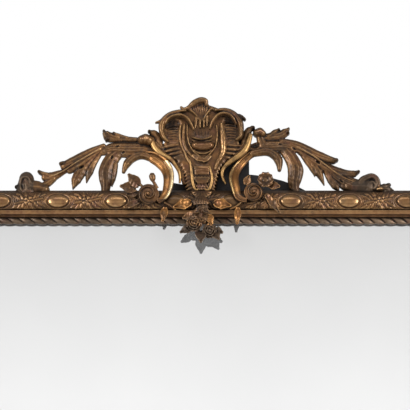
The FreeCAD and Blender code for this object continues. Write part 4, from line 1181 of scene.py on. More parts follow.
# %% Right spray
SPRAY_RIGHT = [
    ([(106, 106), (126, 113), (148, 115), (175, 115), (200, 115), (223, 109)],
     [8, 12, 14.8, 15.3, 15.3, 9.9], [8, 10, 14, 16, 17, 14], "leaf5"),
    ([(138, 138), (168, 140), (190, 144), (202, 152), (208, 158)], [7, 11, 11.5, 10, 4],
     [11, 14, 17, 19, 21], "leaf3"),
    ([(153, 136), (165, 143), (176, 151), (185, 157)], [5, 7, 7.5, 3.5], [12, 15, 17, 19], "leaf2"),
    ([(208, 158), (209, 160)], [3.0, 2.7], [22, 22], "tip"),
    ([(207, 150), (208, 148)], [4.2, 3.7], [21, 21], "tip"),
    ([(184, 156), (185, 158)], [3.5, 3.0], [21, 21], "tip"),
    ([(132, 149), (138, 150), (144, 147)], [11, 13, 10.5], [24, 28, 24], "ball"),
    ([(138, 141), (141, 130), (147, 118)], [9, 10, 13], [16, 15, 14], "leaf1"),
    ([(123, 162), (114, 158), (105, 143), (98, 121)], [3, 8, 11, 6], [14, 15, 12, 9], "leaf2"),
    ([(122, 163), (119, 163)], [5, 5], [17, 17], "tip"),
    ([(119, 98), (138, 102), (157, 103), (173, 95), (184, 79), (185.5, 57)], [9, 10.5, 11, 11, 10.5, 5],
     [12, 14, 15, 16, 15, 11], "leaf3"),
    ([(187, 115), (206, 98), (219, 76), (225, 54), (222, 31), (221, 15), (226, -1)],
     [10, 15, 17, 19.5, 17, 13, 9], [13, 17, 19, 20, 20, 16, 14], "leaf3"),
    ([(193, 126), (228, 117), (260, 101), (290, 87), (317, 79)], [10, 12, 13, 12.5, 8],
     [14, 16, 17, 18, 20], "leaf3"),
    ([(320, 79), (325, 80)], [7, 5], [21, 22], "tip"),
    ([(228, 107), (265, 81), (300, 62), (332, 48), (354, 45), (367, 46)], [5, 9, 12, 13, 10, 8],
     [12, 15, 17, 18, 18, 18], "leaf3"),
    ([(372, 48), (378, 51)], [6, 4], [20, 22], "tip"),
    ([(303, 60), (330, 38), (353, 25), (375, 18), (396, 15)], [8, 14, 15, 14, 13], [15, 18, 19, 19, 18],
     "veined"),
    ([(236, 105), (262, 77), (281, 50), (294, 18)], [5, 10, 10.5, 1.2], [11, 14, 15, 11], "leaf3"),
    ([(234, 105), (254, 76), (266, 57), (272, 40)], [4, 6, 5.5, 1], [11, 12, 12, 10], "leaf2"),
    ([(300, 54), (313, 31), (323, 15), (330, 3)], [8, 11, 10, 1], [12, 13, 14, 11], "leaf2"),
    ([(332, 29), (342, 15), (353, 5)], [8, 9, 4], [12, 13, 12], "leaf2"),
]
# The first pit is darkened almost to the dirt tone as painted shade beside the knob.
PITS_RIGHT = [(126, 117, 13, 8, 5, 5, 0.95), (188, 119, 7, 2.4, -5, 4, 0.4),
              (222, 108, 7, 2.6, -30, 5, 0.5), (279, 74, 7, 2.8, -40, 7, 0.9),
              (335, 27, 7, 2.4, -45, 5, 0.7)]
carved_spray("right", SPRAY_RIGHT, PITS_RIGHT,
             [(175, 70), (200, 84), (246, 90), (252, 66), (280, 56), (345, 26), (400, 10)], MIDRIB_RIGHT)

# %% [markdown]
# ## End volutes
# Where a spray meets the end of its run it rolls over like a breaking wave and comes to rest on the rail.
# The left one is a closed hood with a small leaf beyond it; the right one is a hood round a sunk hollow
# with a small curl in it, and has a bud and leaves beside it. Both are strokes on a board, as the sprays
# are, so that the leaves run on into them.

# %% End volutes
END_LEFT = [
    ([(-421, 12), (-402, 10), (-386, 6)], [18, 17, 12], [26, 27, 23], "leaf2"),
    ([(-429, 1), (-430, 18), (-431, 33)], [23, 23, 17.5], [27, 28, 25], "leaf2"),
    ([(-441, 1), (-444, 20), (-437, 34), (-427, 34), (-419, 22)], [3.5, 3.5, 3.5, 3.5, 3],
     [28, 29, 28.5, 28.5, 26], "swell"),
    ([(-432, 19), (-429, 9), (-427, -2)], [3, 3.5, 3], [29, 29.5, 27], "swell"),
    ([(-449, 12), (-455, 14)], [6, 5], [15, 14], "tip"),
    ([(-449, 4), (-453, 4)], [5, 4], [12, 11], "leaf1"),
    ([(-449, 1), (-412, -1), (-376, 0)], [4, 6, 5], [12, 14, 12], "leaf1"),
]
END_RIGHT = [
    ([(353, 16), (375, 13), (399, 11)], [13, 18, 19], [18, 25, 27], "leaf2"),
    ([(381, 20), (387, 29), (398, 35), (410, 38), (420, 31), (423, 19), (420, 6)], [9, 9, 8.5, 8, 8, 8, 7],
     [22, 25, 27, 28, 28, 27, 24], "leaf1"),
    ([(396, 16), (408, 19), (415, 10)], [15, 16, 14], [16, 16.5, 17], "swell"),
    ([(413, 6), (417, 15), (411, 23), (402, 21), (400, 13), (405, 8)], [4, 4, 3.5, 3.5, 4, 5],
     [27, 27, 25, 23, 22, 22], "swell"),
    ([(421, 4), (427, 5), (433, 5)], [6, 7.5, 6], [29, 33, 29], "ball"),
    ([(430, 9), (442, 13), (454, 18)], [8, 9, 3], [22, 22, 16], "leaf2"),
    ([(432, 4), (447, 7), (462, 4)], [9, 10, 2], [24, 23, 15], "leaf2"),
    ([(439, -1), (450, 0), (460, -1)], [7, 8, 3], [22, 22, 14], "leaf1"),
    ([(449, 19), (452, 20)], [4, 3.5], [17, 16], "tip"),
    ([(358, 0), (393, -1), (428, -1)], [4, 6, 6], [12, 14, 12], "leaf1"),
]
DULL_FROM_LEFT, DULL_FROM_RIGHT, BUD, BUD_REACH = -412, 361, (427, 5), 8
for side, strokes in (("left", END_LEFT), ("right", END_RIGHT)):
    piece = make_piece(f"end_volute_{side}_carved", [relief(strokes, CREST_BACK + 1)],
                       [f"end_volute_{side}"], voxel=None, back=-20, hollow=(14, 2.4))
    repaint(piece, DULL_GILT, lambda face, x, y, z: face.material_index == 0
            and (x < DULL_FROM_LEFT or x > DULL_FROM_RIGHT))
    repaint(piece, LEAF_GILT, lambda face, x, y, z: face.material_index == 2
            and math.dist((x, z), BUD) < BUD_REACH)

# %% [markdown]
# ## C-scrolls with their spiral volutes
# The two large scrolls hang from the sprays, swing in towards the cartouche and end in a spiral over the
# frieze. Their face is gently rounded and warm in tone. A groove parts it from a high ridge on the side of
# the cartouche, which is rubbed pale on the left, a pale tone that also stands as a painted highlight, and
# burnished on the right. A curve with a bevel can't carry different finishes, so the drawn section is swept
# along the line, and each face then learns how far across it lies.

# %% Section of a C-scroll and its finishes
CHANNEL = ([-1, -0.9, -0.6, -0.2, 0.12, 0.26, 0.36, 0.5, 0.7, 0.88, 0.97, 1],
           [4.0, 7.5, 10.2, 11.2, 10.6, 9.6, 11.6, 14.6, 15.8, 15.0, 12.0, 6.0])
RIDGE_FROM, DARKER_ABOVE, DARKER_FADE = 0.3, 95, 40


def scroll_finishes(piece, line, widths, eye, radius, turn, top_darkening, low_end):
    """Warm face beside the ridge and a darker upper part; the volute and the part below low_end keep the
    aged gilding.
    """
    mesh = piece.data
    places, share = smooth_line(line, 90)
    across, _ = frames(places)
    spots = mesh_places(mesh) / MM
    apart = (spots[:, None, 0] - places[:, 0]) ** 2 + (spots[:, None, 2] - places[:, 2]) ** 2
    near_by = apart.argmin(axis=1)
    half = np.interp(share[near_by], np.arange(len(widths)), widths)
    offset = np.einsum("ij,ij->i", spots - places[near_by], across[near_by]) / half
    low_down = np.clip((RAIL_TOP + DARKER_ABOVE - spots[:, 2]) / DARKER_FADE, 0, 1)
    stain_and_shade = (0.4 + 0.4 * top_darkening) * (1 - low_down)
    mesh.materials.append(GILT)
    mesh.materials.append(WARM_GILT)
    for face in mesh.polygons:
        x, z, corner = face.center.x / MM, face.center.z / MM - RAIL_TOP, face.vertices[0]
        if math.dist((x, z), eye) < radius + 1.5 or z < low_end:
            face.material_index = 2
            stain_and_shade[list(face.vertices)] = 0.0
        elif face.material_index == 0 and (turn * offset[corner] < RIDGE_FROM or low_down[corner] < 0.5):
            face.material_index = 3
    store(mesh, "stain_and_shade", stain_and_shade)


print("the scroll's ridge is", max(CHANNEL[1]), "mm high at full width")

# %% C-scrolls
def c_scroll(side, upper, lower, widths, eye, radius, top_darkening, ridge, low_end):
    """One large scroll: its band above and before the rail, and the volute round its eye."""
    turn = -1 if side == "left" else 1
    line = behind(*upper) + before(*lower)
    volute = curl(before((eye[0], 0, eye[1]))[0], radius, 16.0, turn, 0.75, 1.7, 6.0)
    band = sweep(line, widths, shaped_section(*CHANNEL, 13.0, turn, 0.62), 90)
    piece = make_piece(f"c_scroll_{side}_carved", [band, volute], [f"c_scroll_{side}"], ridge, 0.8, 10,
                       back=-24, hollow=(20, 4.0))
    scroll_finishes(piece, line, widths, eye, radius, turn, top_darkening, low_end)


c_scroll("left", [(-152, 0, 92), (-138, 2, 93), (-121, 5, 86), (-100, 9, 70), (-87, 17, 48), (-84, 27, 26)],
         [(-87, -9, 0), (-95, 0, -20), (-109, 1, -33)], [7, 10, 15, 16, 14.5, 13, 11.5, 9, 6],
         (-132, -14), 25.0, 0.6, PALE_GILT_AND_HIGHLIGHT, -27)
c_scroll("right", [(140, 0, 100), (122, 3, 97), (100, 5, 80), (83, 9, 59), (74, 18, 37), (74, 26, 22)],
         [(78, -9, 0), (88, 0, -24), (104, 1, -29)], [7, 8.5, 9.5, 11, 12, 12, 11, 9, 6],
         (120, -9), 22.5, 1.2, BRIGHT_GILT, -13)

# %% [markdown]
# ## Slim scrolls
# A thin scroll runs down each side of the cartouche. It stands proud and has been rubbed smooth, so it
# takes the soft burnished gilding, whose wider gloss draws one quiet line of light. It is swept like the
# large scrolls, with a plain rounded section.

# %% Slim scrolls
SLIM = [5.5, 7.0, 8.0, 7.5, 6.5, 5.0, 4.2, 3.8, 2.6]
SLIM_LEFT = behind((-127, 12, 135), (-122, 13, 117), (-112, 14, 102), (-98, 14, 91), (-81, 14, 81),
                   (-69, 13, 67), (-60, 12, 51), (-57, 10, 36), (-58, 9, 22))
SLIM_RIGHT = behind((116, 12, 146), (110, 13, 123), (100, 14, 102), (84, 14, 88), (66, 14, 75),
                    (53, 13, 64), (46, 12, 50), (48, 10, 34), (55, 9, 20))
slim_section = shaped_section([-1, -0.7, -0.3, 0.2, 0.6, 1], [3, 8, 10, 10.4, 9.4, 4], 8.0, 1, 0.6)
for side, line in (("left", SLIM_LEFT), ("right", SLIM_RIGHT)):
    make_piece(f"slim_scroll_{side}_carved", [sweep(line, SLIM, slim_section, 90)], [f"slim_scroll_{side}"],
               SOFT_GILT, 0.7, 10, hollow=(16, 6.0))

# %% [markdown]
# ## The cartouche
# The middle of the crest is a shell cartouche. Its swelling body narrows to a neck with notched edges; two
# rolled horns form its shoulders, with scallop ribs in the hollows under them; a beaded rim frames a
# medallion with an oval boss, and two rods are laid down the neck. Sculpting by hand could give all this,
# but not the same way twice. So the body is a relief drawn with strokes, and what lies on it is raised
# above its face.

# %% Body of the cartouche
BODY_UP = [-8, 4, 20, 46, 67, 81, 97, 115, 145, 170, 188, 202, 213, 220]
BODY_HALF = [16, 28, 33, 38, 47, 60, 76, 88, 94, 92, 80, 58, 38, 20]
BODY = [([(-5, z) for z in BODY_UP], BODY_HALF, [14, 15, 16, 17, 18, 18, 17, 16, 15, 14, 14, 14, 14, 12],
         "body")]


def body_height(x, z):
    """How far the face of the body stands in front of the crest's back."""
    return stroke_fields(BODY, x, z)[1]


RIBS = [([(-62, 162 - 6.6 * i), (-73, 163 - 6.6 * i), (-86, 160 - 6.2 * i)], [3.8, 4.2, 3],
         [15.5, 16.5, 15], "bead") for i in range(6)]
RIBS += [([(55, 170 - 6.8 * i), (66, 171 - 6.8 * i), (80, 168 - 6.4 * i)], [3.8, 4.2, 3], [16, 17, 15.5],
          "bead") for i in range(7)]
WINGS = [
    ([(-117, 125), (-109, 113), (-95, 100), (-79, 88), (-64, 74), (-55, 58), (-51, 42), (-47, 23)],
     [6, 8, 8, 8, 7, 6.5, 6, 5], [11, 13, 13, 13, 13, 13, 13, 12], "leaf1"),
    ([(108, 141), (100, 120), (87, 104), (70, 90), (55, 78), (43, 67)], [6, 8, 8, 8, 7, 5],
     [11, 13, 13, 13, 13, 12], "leaf1"),
    ([(-59, 109), (-83, 111), (-110, 112)], [14, 14, 9], [13, 12, 9], "leaf1"),
    ([(-62, 119), (-81, 116), (-102, 112)], [4, 5.5, 3], [17.5, 18, 13], "leaf1"),
    ([(-59, 109), (-79, 105), (-100, 99)], [4.5, 6, 3], [18, 18.5, 13], "leaf1"),
    ([(-55, 99), (-74, 96), (-92, 90)], [4.5, 5.5, 3], [18, 18.5, 13], "leaf1"),
    ([(-50, 90), (-65, 86), (-79, 81)], [4, 5, 3], [18, 18, 13], "leaf1"),
    ([(48, 109), (70, 111), (98, 114)], [14, 14, 9], [13, 12, 9], "leaf1"),
    ([(53, 118), (70, 116), (90, 117)], [4, 5.5, 3], [17.5, 18, 13], "leaf1"),
    ([(52, 108), (70, 106), (91, 107)], [4.5, 6, 3], [18, 18.5, 13], "leaf1"),
    ([(49, 98), (67, 96), (84, 95)], [4.5, 5.5, 3], [18, 18.5, 13], "leaf1"),
    ([(44, 88), (60, 86), (73, 83)], [4, 5, 3], [18, 18, 13], "leaf1"),
]
NOTCH_UP, NOTCH_LEFT = [2, 16, 29, 41, 55, 67, 76], [-42, -45, -46, -48, -51, -57, -66]
NOTCH_RIGHT = [29, 30, 33, 36, 42, 48, 54]
NOTCHES = []
for z in np.arange(75.0, 4.0, -8.6):
    left, right = np.interp(z, NOTCH_UP, NOTCH_LEFT), np.interp(z, NOTCH_UP, NOTCH_RIGHT)
    NOTCHES += [([(left + 17, z + 4), (left + 8, z + 1), (left + 2, z - 3)], [4.2, 4.8, 2.8],
                 [17.5, 18, 15], "leaf1"),
                ([(right - 17, z + 4), (right - 8, z + 1), (right - 2, z - 3)], [4.2, 4.8, 2.8],
                 [17.5, 18, 15], "leaf1")]
# The first hollow under each horn is painted dark as the shade under the horn.
HOLLOWS = [(-77, 170, 24, 16, 0, 8, 0.9), (-76, 146, 22, 24, 0, 4, 0.25),
           (68, 176, 22, 15, 0, 7, 0.8), (68, 148, 22, 24, 0, 4, 0.15),
           (-4, 148, 24, 14, 0, 1.6, 0.4), (-4, 20, 17, 17, 0, 3, 0.35), (-4, 72, 18, 9, 0, 2, 0.3)]
HOLLOWS += [(-4 + 8 * k, 147, 9, 1.2, 90 - 9 * k, 1.6, 0.8) for k in range(-2, 3)]
HOLLOWS += [(-83, 110, 24, 1.7, 11, 3, 0.8), (-77, 100, 22, 1.7, 13, 3, 0.8), (-70, 91, 19, 1.7, 15, 3, 0.8),
            (71, 113, 24, 1.7, -1, 3, 0.8), (68, 102, 22, 1.7, -3, 3, 0.8), (62, 92, 19, 1.7, -7, 3, 0.8)]
body_mesh = relief(BODY + RIBS + WINGS + NOTCHES, CREST_BACK, pits=HOLLOWS)
make_piece("cartouche_body", [body_mesh], ["cartouche"], voxel=None, back=-19, hollow=(14, 2.0))

# %% Horns and the shell at the top
HORN_LEFT = [
    ([(-45, 205), (-64, 200), (-81, 193), (-94, 182), (-102, 167), (-102, 151), (-96, 135), (-88, 127)],
     [4, 7, 8.5, 9, 8.5, 7, 6, 4], [18, 21, 23, 24, 24, 23, 21, 18], "leaf3"),
    ([(-24, 156), (-29, 167), (-36, 179), (-47, 188), (-60, 191), (-74, 188), (-86, 181), (-92, 171)],
     [3.5, 4.5, 5, 5, 5, 4.5, 4, 2.5], [16, 21, 25, 27, 28, 28, 27, 22], "roll"),
    ([(-91, 186), (-103, 179), (-117, 175)], [6, 5, 2], [17, 16, 14], "leaf1"),
    ([(-42, 206), (-50, 209), (-55, 214)], [5, 5, 3], [12, 14, 15], "leaf1"),
]
HORN_RIGHT = [
    ([(29, 205), (50, 205), (67, 199), (81, 187), (90, 171), (92, 153), (89, 137), (81, 131)],
     [4, 7, 8.5, 9, 8.5, 7, 6, 4], [18, 21, 23, 24, 24, 23, 21, 18], "leaf3"),
    ([(16, 159), (20, 171), (28, 184), (39, 193), (53, 195), (65, 191), (74, 181), (80, 169)],
     [3.5, 4.5, 5, 5, 5, 4.5, 4, 2.5], [16, 21, 25, 27, 28, 28, 27, 22], "roll"),
    ([(88, 191), (94, 188), (101, 183)], [6, 5.5, 4], [18, 18, 17], "tip"),
]
make_piece("horn_left_carved", [relief(HORN_LEFT, CREST_BACK + 6)], ["cartouche_horn_left"], voxel=None,
           hollow=(14, 2.0))
make_piece("horn_right_carved", [relief(HORN_RIGHT, CREST_BACK + 6)], ["cartouche_horn_right"], voxel=None,
           hollow=(14, 2.0))
SHELL = [
    *[([(-5 + 0.7 * k, 176), (-6 + 3.7 * k, 197), (-9 + 6.2 * k, 221 - 0.9 * k * k)],
       [2.2, 3.8, 4.4], [14, 20, 19], "leaf1") for k in range(-4, 5)],
    ([(-50, 208), (-37, 211), (-27, 219), (-16, 226), (-5, 229), (5, 226), (7, 218)],
     [3, 5, 6.5, 7, 7, 6.5, 4.5], [18, 22, 26, 28, 29, 28, 24], "swell"),
    ([(12, 214), (19, 211), (26, 207)], [5, 5, 3], [17, 17, 15], "leaf1"),
]
FLUTES = [(-7 + 4.0 * k, 199, 20, 1.3, math.degrees(math.atan2(45 - 0.9 * k * k, 5.5 * k - 4)), 3, 0.8)
          for k in np.arange(-3.5, 4.0)]
make_piece("shell_tip", [relief(SHELL, CREST_BACK + 4, pits=FLUTES)], ["cartouche_shell"], voxel=None,
           back=-24)

# %% Rim, straps and medallion
def on_body(x, z):
    """The face of the body, counted from the back of what is laid on it."""
    return body_height(x, z) - 6.0


RIM = [
    ([(-56, 168), (-58, 152), (-57, 132), (-53, 115), (-46, 99), (-40, 83), (-34, 72)],
     [2.5, 3.2, 3.4, 3.4, 3.2, 3, 2.5], [4, 5.5, 6, 6, 6, 5, 4], "bead"),
    ([(-47, 171), (-49, 154), (-49, 132), (-46, 116), (-38, 100), (-28, 88)], [2.5, 4, 4.5, 4.5, 4, 3],
     [4, 5, 6, 6, 5, 4], "bead"),
    ([(-39, 168), (-40, 150), (-38, 132), (-33, 115), (-23, 99), (-11, 88), (-4, 81)],
     [2, 2.6, 2.8, 2.8, 2.8, 2.6, 2], [4, 6, 7, 7, 7, 6, 4], "bead"),
    ([(44, 171), (46, 152), (48, 132), (49, 115), (48, 99), (41, 83), (34, 70), (29, 56)],
     [4, 7, 8, 8, 7.5, 6, 5, 4], [5, 9, 11, 11, 10, 8, 7, 5], "bead"),
    ([(32, 168), (34, 150), (33, 132), (29, 113), (20, 99), (10, 88), (0, 81)],
     [2, 2.6, 2.8, 2.8, 2.8, 2.6, 2], [4, 6, 7, 7, 7, 6, 4], "bead"),
]


def laid(line):
    """The places of a line that lies on the face of the body."""
    across, up = (np.array(v, float) for v in zip(*line))
    return [(x, -CREST_BACK - rise, z + RAIL_TOP)
            for x, z, rise in zip(across, up, body_height(across, up))]


RIM_RIGHT, NECK_TOP = 42, 80
STRAPS = [
    [(-34, 80), (-30, 60), (-28, 40), (-26, 23), (-22, 10), (-16, 4), (-12, 7)],
    [(14, 64), (19, 48), (21, 30), (18, 15), (12, 5), (7, 4), (4, 8)],
]
rim = relief(RIM, CREST_BACK + 6, on_body, 0.8)
piece = make_piece("medallion_rim", [rim], ["cartouche_rim"], voxel=None, hollow=(14, 2.0))
repaint(piece, LEAF_GILT, lambda face, x, y, z: x > RIM_RIGHT and z > NECK_TOP)
rods = [sweep(laid(line), [2.2, 3.4, 3.9, 3.9, 3.7, 3.3, 2.4], round_section(1.2), 60) for line in STRAPS]
make_piece("neck_straps", rods, ["cartouche_straps"], SOFT_GILT, voxel=None, rounds=0, hollow=(14, 30.0))

# %% Medallion
MEDALLION = [
    ([(-8, 179), (-8, 162)], [3.2, 3.2], [9, 9], "ball"),
    ([(1, 179), (1, 162)], [3.2, 3.2], [9, 9], "ball"),
    ([(-17, 188), (-19, 173), (-21, 161)], [3, 4, 2], [3, 4, 3], "leaf1"),
    ([(9, 191), (9, 179), (8, 166)], [3, 4, 2], [5, 6, 4], "leaf1"),
    ([(-28, 137), (-17, 133), (-4, 131), (10, 134), (20, 139)], [2.4, 3.2, 3.4, 3.2, 2.4],
     [5, 6.5, 7, 6.5, 5], "bead"),
    ([(-27, 128), (-16, 125), (-4, 124), (8, 126), (19, 129)], [2, 2.4, 2.6, 2.4, 2], [5, 5.5, 6, 5.5, 5],
     "bead"),
    ([(-20, 115), (-2, 113), (17, 115)], [9.5, 11, 9.5], [15, 13, 15], "ball"),
    ([(-28, 107), (-18, 99), (-2, 95), (14, 99), (24, 107)], [2, 2.8, 3, 2.8, 2], [4, 5, 5.5, 5, 4],
     "bead"),
    ([(-24, 89), (-12, 83), (1, 78)], [5, 8, 4], [5, 7.5, 4], "leaf2"),
    ([(16, 87), (7, 80), (1, 75)], [4, 6, 3], [4, 6, 4], "leaf1"),
    ([(-4, 42), (-4, 62)], [17, 18], [4.6, 4.6], "body"),
    ([(-19, 57), (-4, 58), (12, 57)], [2, 2.4, 2], [5.2, 5.6, 5.2], "bead"),
    ([(-19, 51), (-4, 52), (12, 51)], [2, 2.4, 2], [5.2, 5.6, 5.2], "bead"),
    ([(-18, 46), (-4, 46), (11, 46)], [2, 2.4, 2], [5.2, 5.6, 5.2], "bead"),
]
POLISHED_HALF, POLISHED_UP = 30, ((102, 124), (40, 62))
SCALES = []
for j in range(5):
    for x in (-19 + 7.5 * i + 3.7 * (j % 2) for i in range(5)):
        if abs(x + 4) < 18 - 1.8 * j:
            SCALES.append(([(x, 33 - 6.5 * j), (x + 1, 32 - 6.5 * j)], [3.6, 3.4], [3, 3.5], "ball"))
medallion = relief(MEDALLION + SCALES, CREST_BACK + 6, on_body, 0.8)
piece = make_piece("medallion_boss", [medallion], ["cartouche_boss"], voxel=None, hollow=(14, 1.8))
repaint(piece, BAND_GILT, lambda face, x, y, z: abs(x + 3) < POLISHED_HALF
        and any(low < z < high for low, high in POLISHED_UP))

# %% [markdown]
# ## Flowers and leaves
# Roses are built petal by petal: three rings of cupped petals whose lips turn out, round a tight bud. The
# leaves are thin blades with a crease along the middle and side veins, some with a lobed edge; each is a
# grid closed into a shell, because a flat card would show no edge. The backs that the plate reflects are
# painted dark grey as painted shade, the leaves on the rail are warm.

# %% Petals and blades
def petal(centre, turn, root, length, width, lift, cup):
    """One cupped petal that leaves the flower's middle in a direction round the front-to-back axis."""
    outward = np.array([math.cos(turn), 0.0, math.sin(turn)])
    sideways = np.array([-math.sin(turn), 0.0, math.cos(turn)])
    grid = []
    for q in np.linspace(0, 1, 9):
        half = width * math.sqrt(max(0.03, 1 - (1.9 * q - 1.05) ** 2 / 1.12))
        away = root + length * q
        rise = lift * math.sin(q * 1.9) - 1.8 * max(0.0, q - 0.75) * 4
        grid.append([centre + outward * (away - 0.12 * half * p * p) + sideways * half * p
                     + FRONT * (rise + cup * p * p * q) for p in np.linspace(-1, 1, 9)])
    return slab(grid, 1.5)


# Rings of a rose: petals, root, length and width by its radius, base and lift by its rise, cup by its radius
ROSE_RINGS = ((6, 0.30, 0.70, 0.50, 0.15, 0.30, 0.16), (5, 0.18, 0.56, 0.42, 0.38, 0.34, 0.2),
              (4, 0.08, 0.36, 0.32, 0.6, 0.36, 0.24))


def rose(place, radius, rise):
    """A full rose: a low cone, three rings of petals and a bud."""
    centre = np.array(place, float)
    shells = [lathe(place, [(radius * 0.85, 0), (radius * 0.75, rise * 0.3), (radius * 0.3, rise * 0.55),
                            (1.0, rise * 0.6)], 24)]
    for ring, (count, root, length, width, base, lift, cup) in enumerate(ROSE_RINGS):
        for i in range(count):
            turn = 2 * math.pi * (i + 0.37 * ring) / count
            shells.append(petal(centre + FRONT * rise * base, turn, radius * root, radius * length,
                                radius * width, rise * lift, radius * cup))
    shells.append(lathe((place[0], place[1] - rise * 0.55, place[2]),
                        [(radius * 0.2, 0), (radius * 0.18, rise * 0.36), (radius * 0.05, rise * 0.46)], 16))
    return shells


def open_flower(place, radius, rise):
    """Five broad petals round a small button."""
    centre = np.array(place, float)
    shells = [lathe(place, [(radius * 0.5, 0), (radius * 0.45, rise * 0.4), (radius * 0.2, rise * 0.75),
                            (1.0, rise * 0.8)], 24)]
    for i in range(5):
        turn = 2 * math.pi * (i + 0.25) / 5
        shells.append(petal(centre, turn, radius * 0.12, radius * 0.88, radius * 0.52, rise, radius * 0.25))
    return shells


def blade(root, tip, half, lobes=2, bend=5.0, crease=2.5, veins=0.3):
    """A leaf from root to tip, creased along its middle, with that many lobes on its edge."""
    root, tip = np.array(root, float), np.array(tip, float)
    ahead = unit(tip - root)
    across = unit(np.cross(ahead, FRONT))
    out = np.cross(across, ahead)
    grid = []
    for q in np.linspace(0, 1, 22):
        fullness = math.sin(math.pi * min(1.0, q ** 0.75 + 0.02))
        swell = fullness ** (0.7 if q < 0.4 else 1.0) if q < 1 else 0.0
        reach = half * max(0.06, swell * (0.9 + 0.1 * math.cos(2 * math.pi * lobes * q)))
        arch = bend * math.sin(math.pi * q * 0.9)
        row = []
        for p in np.linspace(-1, 1, 13):
            vein = veins * math.cos(9 * q * math.pi + 4 * abs(p))
            rise = arch + crease * abs(p) ** 1.4 - 0.5 * crease + vein
            row.append(root + (tip - root) * q + across * reach * p + out * rise)
        grid.append(row)
    return slab(grid, 2.6)


def stem(points, width):
    """A round stalk that gets thinner."""
    return sweep(points, [width, width * 0.8], round_section(), 20)


def bud(points, width):
    """A closed bud, thickest beyond its middle."""
    return sweep(points, [width * 0.45, width * 0.9, width, width * 0.55], round_section(), 26)


print("a rose has", sum(ring[0] for ring in ROSE_RINGS), "petals in", len(ROSE_RINGS), "rings")

# %% Bouquets on the volutes
bouquet_left = [
    blade(*before((-155, 5, 5), (-181, 10, 35)), 14, 0, 4),
    blade(*before((-162, 5, 0), (-201, 9, 5)), 14, 0, 4),
    blade(*before((-159, 3, -10), (-186, 4, -14)), 10, 0, 3),
    blade(*before((-152, 3, -30), (-191, 4, -47)), 8, 2),
    blade(*before((-92, 5, -47), (-97, 10, -83)), 9, 0, 5, veins=0.1),
    stem(before((-94, 5, -34), (-80, 4, -42), (-66, 4, -52)), 2.4),
    bud(before((-122, 8, 16), (-122, 9, 22), (-123, 9, 30), (-123, 9, 37)), 8.2),
    stem(before((-111, 4, 0), (-121, 8, 18)), 4.6),
    stem(before((-142, 4, 0), (-152, 5, 10)), 4.0),
]
bouquet_right = [
    *open_flower(before((149, 4, 20))[0], 19.0, 9.0),
    stem(before((126, 4, 2), (140, 4, 12)), 4.0),
    blade(*before((158, 4, 9), (184, 7, 4)), 10, 0, 3),
    blade(*before((102, 6, 10), (110, 9, 31)), 9, 0, 3),
    blade(*before((83, 5, -47), (80, 10, -90)), 8, 0, 5, veins=0.1),
    blade(*before((150, 4, -14), (183, 4, -62)), 9, 2),
    *rose(before((146, 2, -40))[0], 10.0, 7.0),
    stem(before((90, 4, -34), (78, 5, -44), (64, 4, -50)), 2.4),
]
TIPS_BELOW, TIPS_WITHIN, FACES_VIEWER = -46, 110, -0.1
for side, shells in (("left", bouquet_left), ("right", bouquet_right)):
    piece = make_piece(f"bouquet_{side}_carved", shells, [f"bouquet_{side}"], voxel=0.9, reverse=SHADED_BACK_PAINT)
    repaint(piece, WARM_GILT, lambda face, x, y, z: z < TIPS_BELOW and abs(x) < TIPS_WITHIN
            and face.normal.y < FACES_VIEWER)

# %% Pendant bouquet over the rail
def fan_leaf(turn):
    """One leaf of the fan that ties the pendant to the foot of the cartouche."""
    sin, cos = math.sin(turn), math.cos(turn)
    return finger(behind((-4 + 7 * sin, 17, -2))
                  + before((-4 + 16 * sin, -16, -5 - 6 * cos), (-4 + 25 * sin, -9, -5 - 16 * cos)),
                  [3.5, 5.0, 4.0], 1, 1.4)


pendant = [
    *[fan_leaf(turn) for turn in np.radians([-80, -53, -26, 0, 26, 53, 80])],
    finger(before((-5, -3, -17), (-5, 2, -24), (-6, 6, -33), (-6, 8, -41)), [7, 15, 21, 18], 7, 1.8),
    *rose(before((-3, 6, -50))[0], 11.0, 9.0),
    stem(before((-4, -2, -30), (-6, 3, -60), (-8, 8, -86)), 7.0),
    *[blade(*before((-4 + 4 * k, 6, -50), (-4 + 17 * k, 9, -61)), 6, 0, 3) for k in (-1, 1)],
    *rose(before((-22, 12, -90))[0], 19.0, 18.0),
    *rose(before((15, 12, -107))[0], 18.0, 18.0),
    *rose(before((3, 14, -80))[0], 11.0, 9.0),
    blade(*before((-30, 4, -33), (-72, 9, -48)), 13.5, 2, 5, 4.0, veins=0.25),
    blade(*before((26, 4, -35), (67, 9, -44)), 13.5, 2, 5, 4.0, veins=0.25),
    blade(*before((11, 16, -66), (21, 22, -93)), 10, 0),
    blade(*before((-30, 12, -97), (-56, 22, -112)), 10, 0),
    blade(*before((26, 12, -103), (47, 20, -112)), 10, 0),
    blade(*before((24, 12, -108), (38, 26, -130)), 11, 0),
    blade(*before((-6, 12, -104), (-6, 35, -139)), 14, 0),
    blade(*before((-22, 9, -64), (-50, 11, -75)), 9, 0),
]


def rubbed_warm(face, x, y, z):
    """The two leaves on the rail and the one in front of the roses, where they face the viewer."""
    on_rail = 24 < abs(x + 2) < 76 and -60 < z < -22
    on_roses = 10 < x < 27 and -93 < z < -66 and y < -PROUD - 12
    return face.normal.y < -0.2 and (on_rail or on_roses)


PAINTED_SHADE_BELOW = -96
piece = make_piece("pendant_carved", pendant, ["pendant_bouquet"], voxel=0.95, reverse=SHADED_BACK_PAINT)
repaint(piece, WARM_GILT, rubbed_warm)
# Leaves below this height take the dulled gilding as painted shade, for the shade the lower cluster hangs
# in.
repaint(piece, DULL_GILT, lambda face, x, y, z: z < PAINTED_SHADE_BELOW and face.normal.y < BACK_TURNED)

# %% [markdown]
# ## The backing board
# Behind the crest stands a thin sawn board, painted black. Its right side falls away in an arch; on the
# left it keeps a square shoulder, which shows as a dark patch between the scroll and the cartouche. An
# outline carried through four rings gives a board with slightly broken edges, without a bevel modifier.

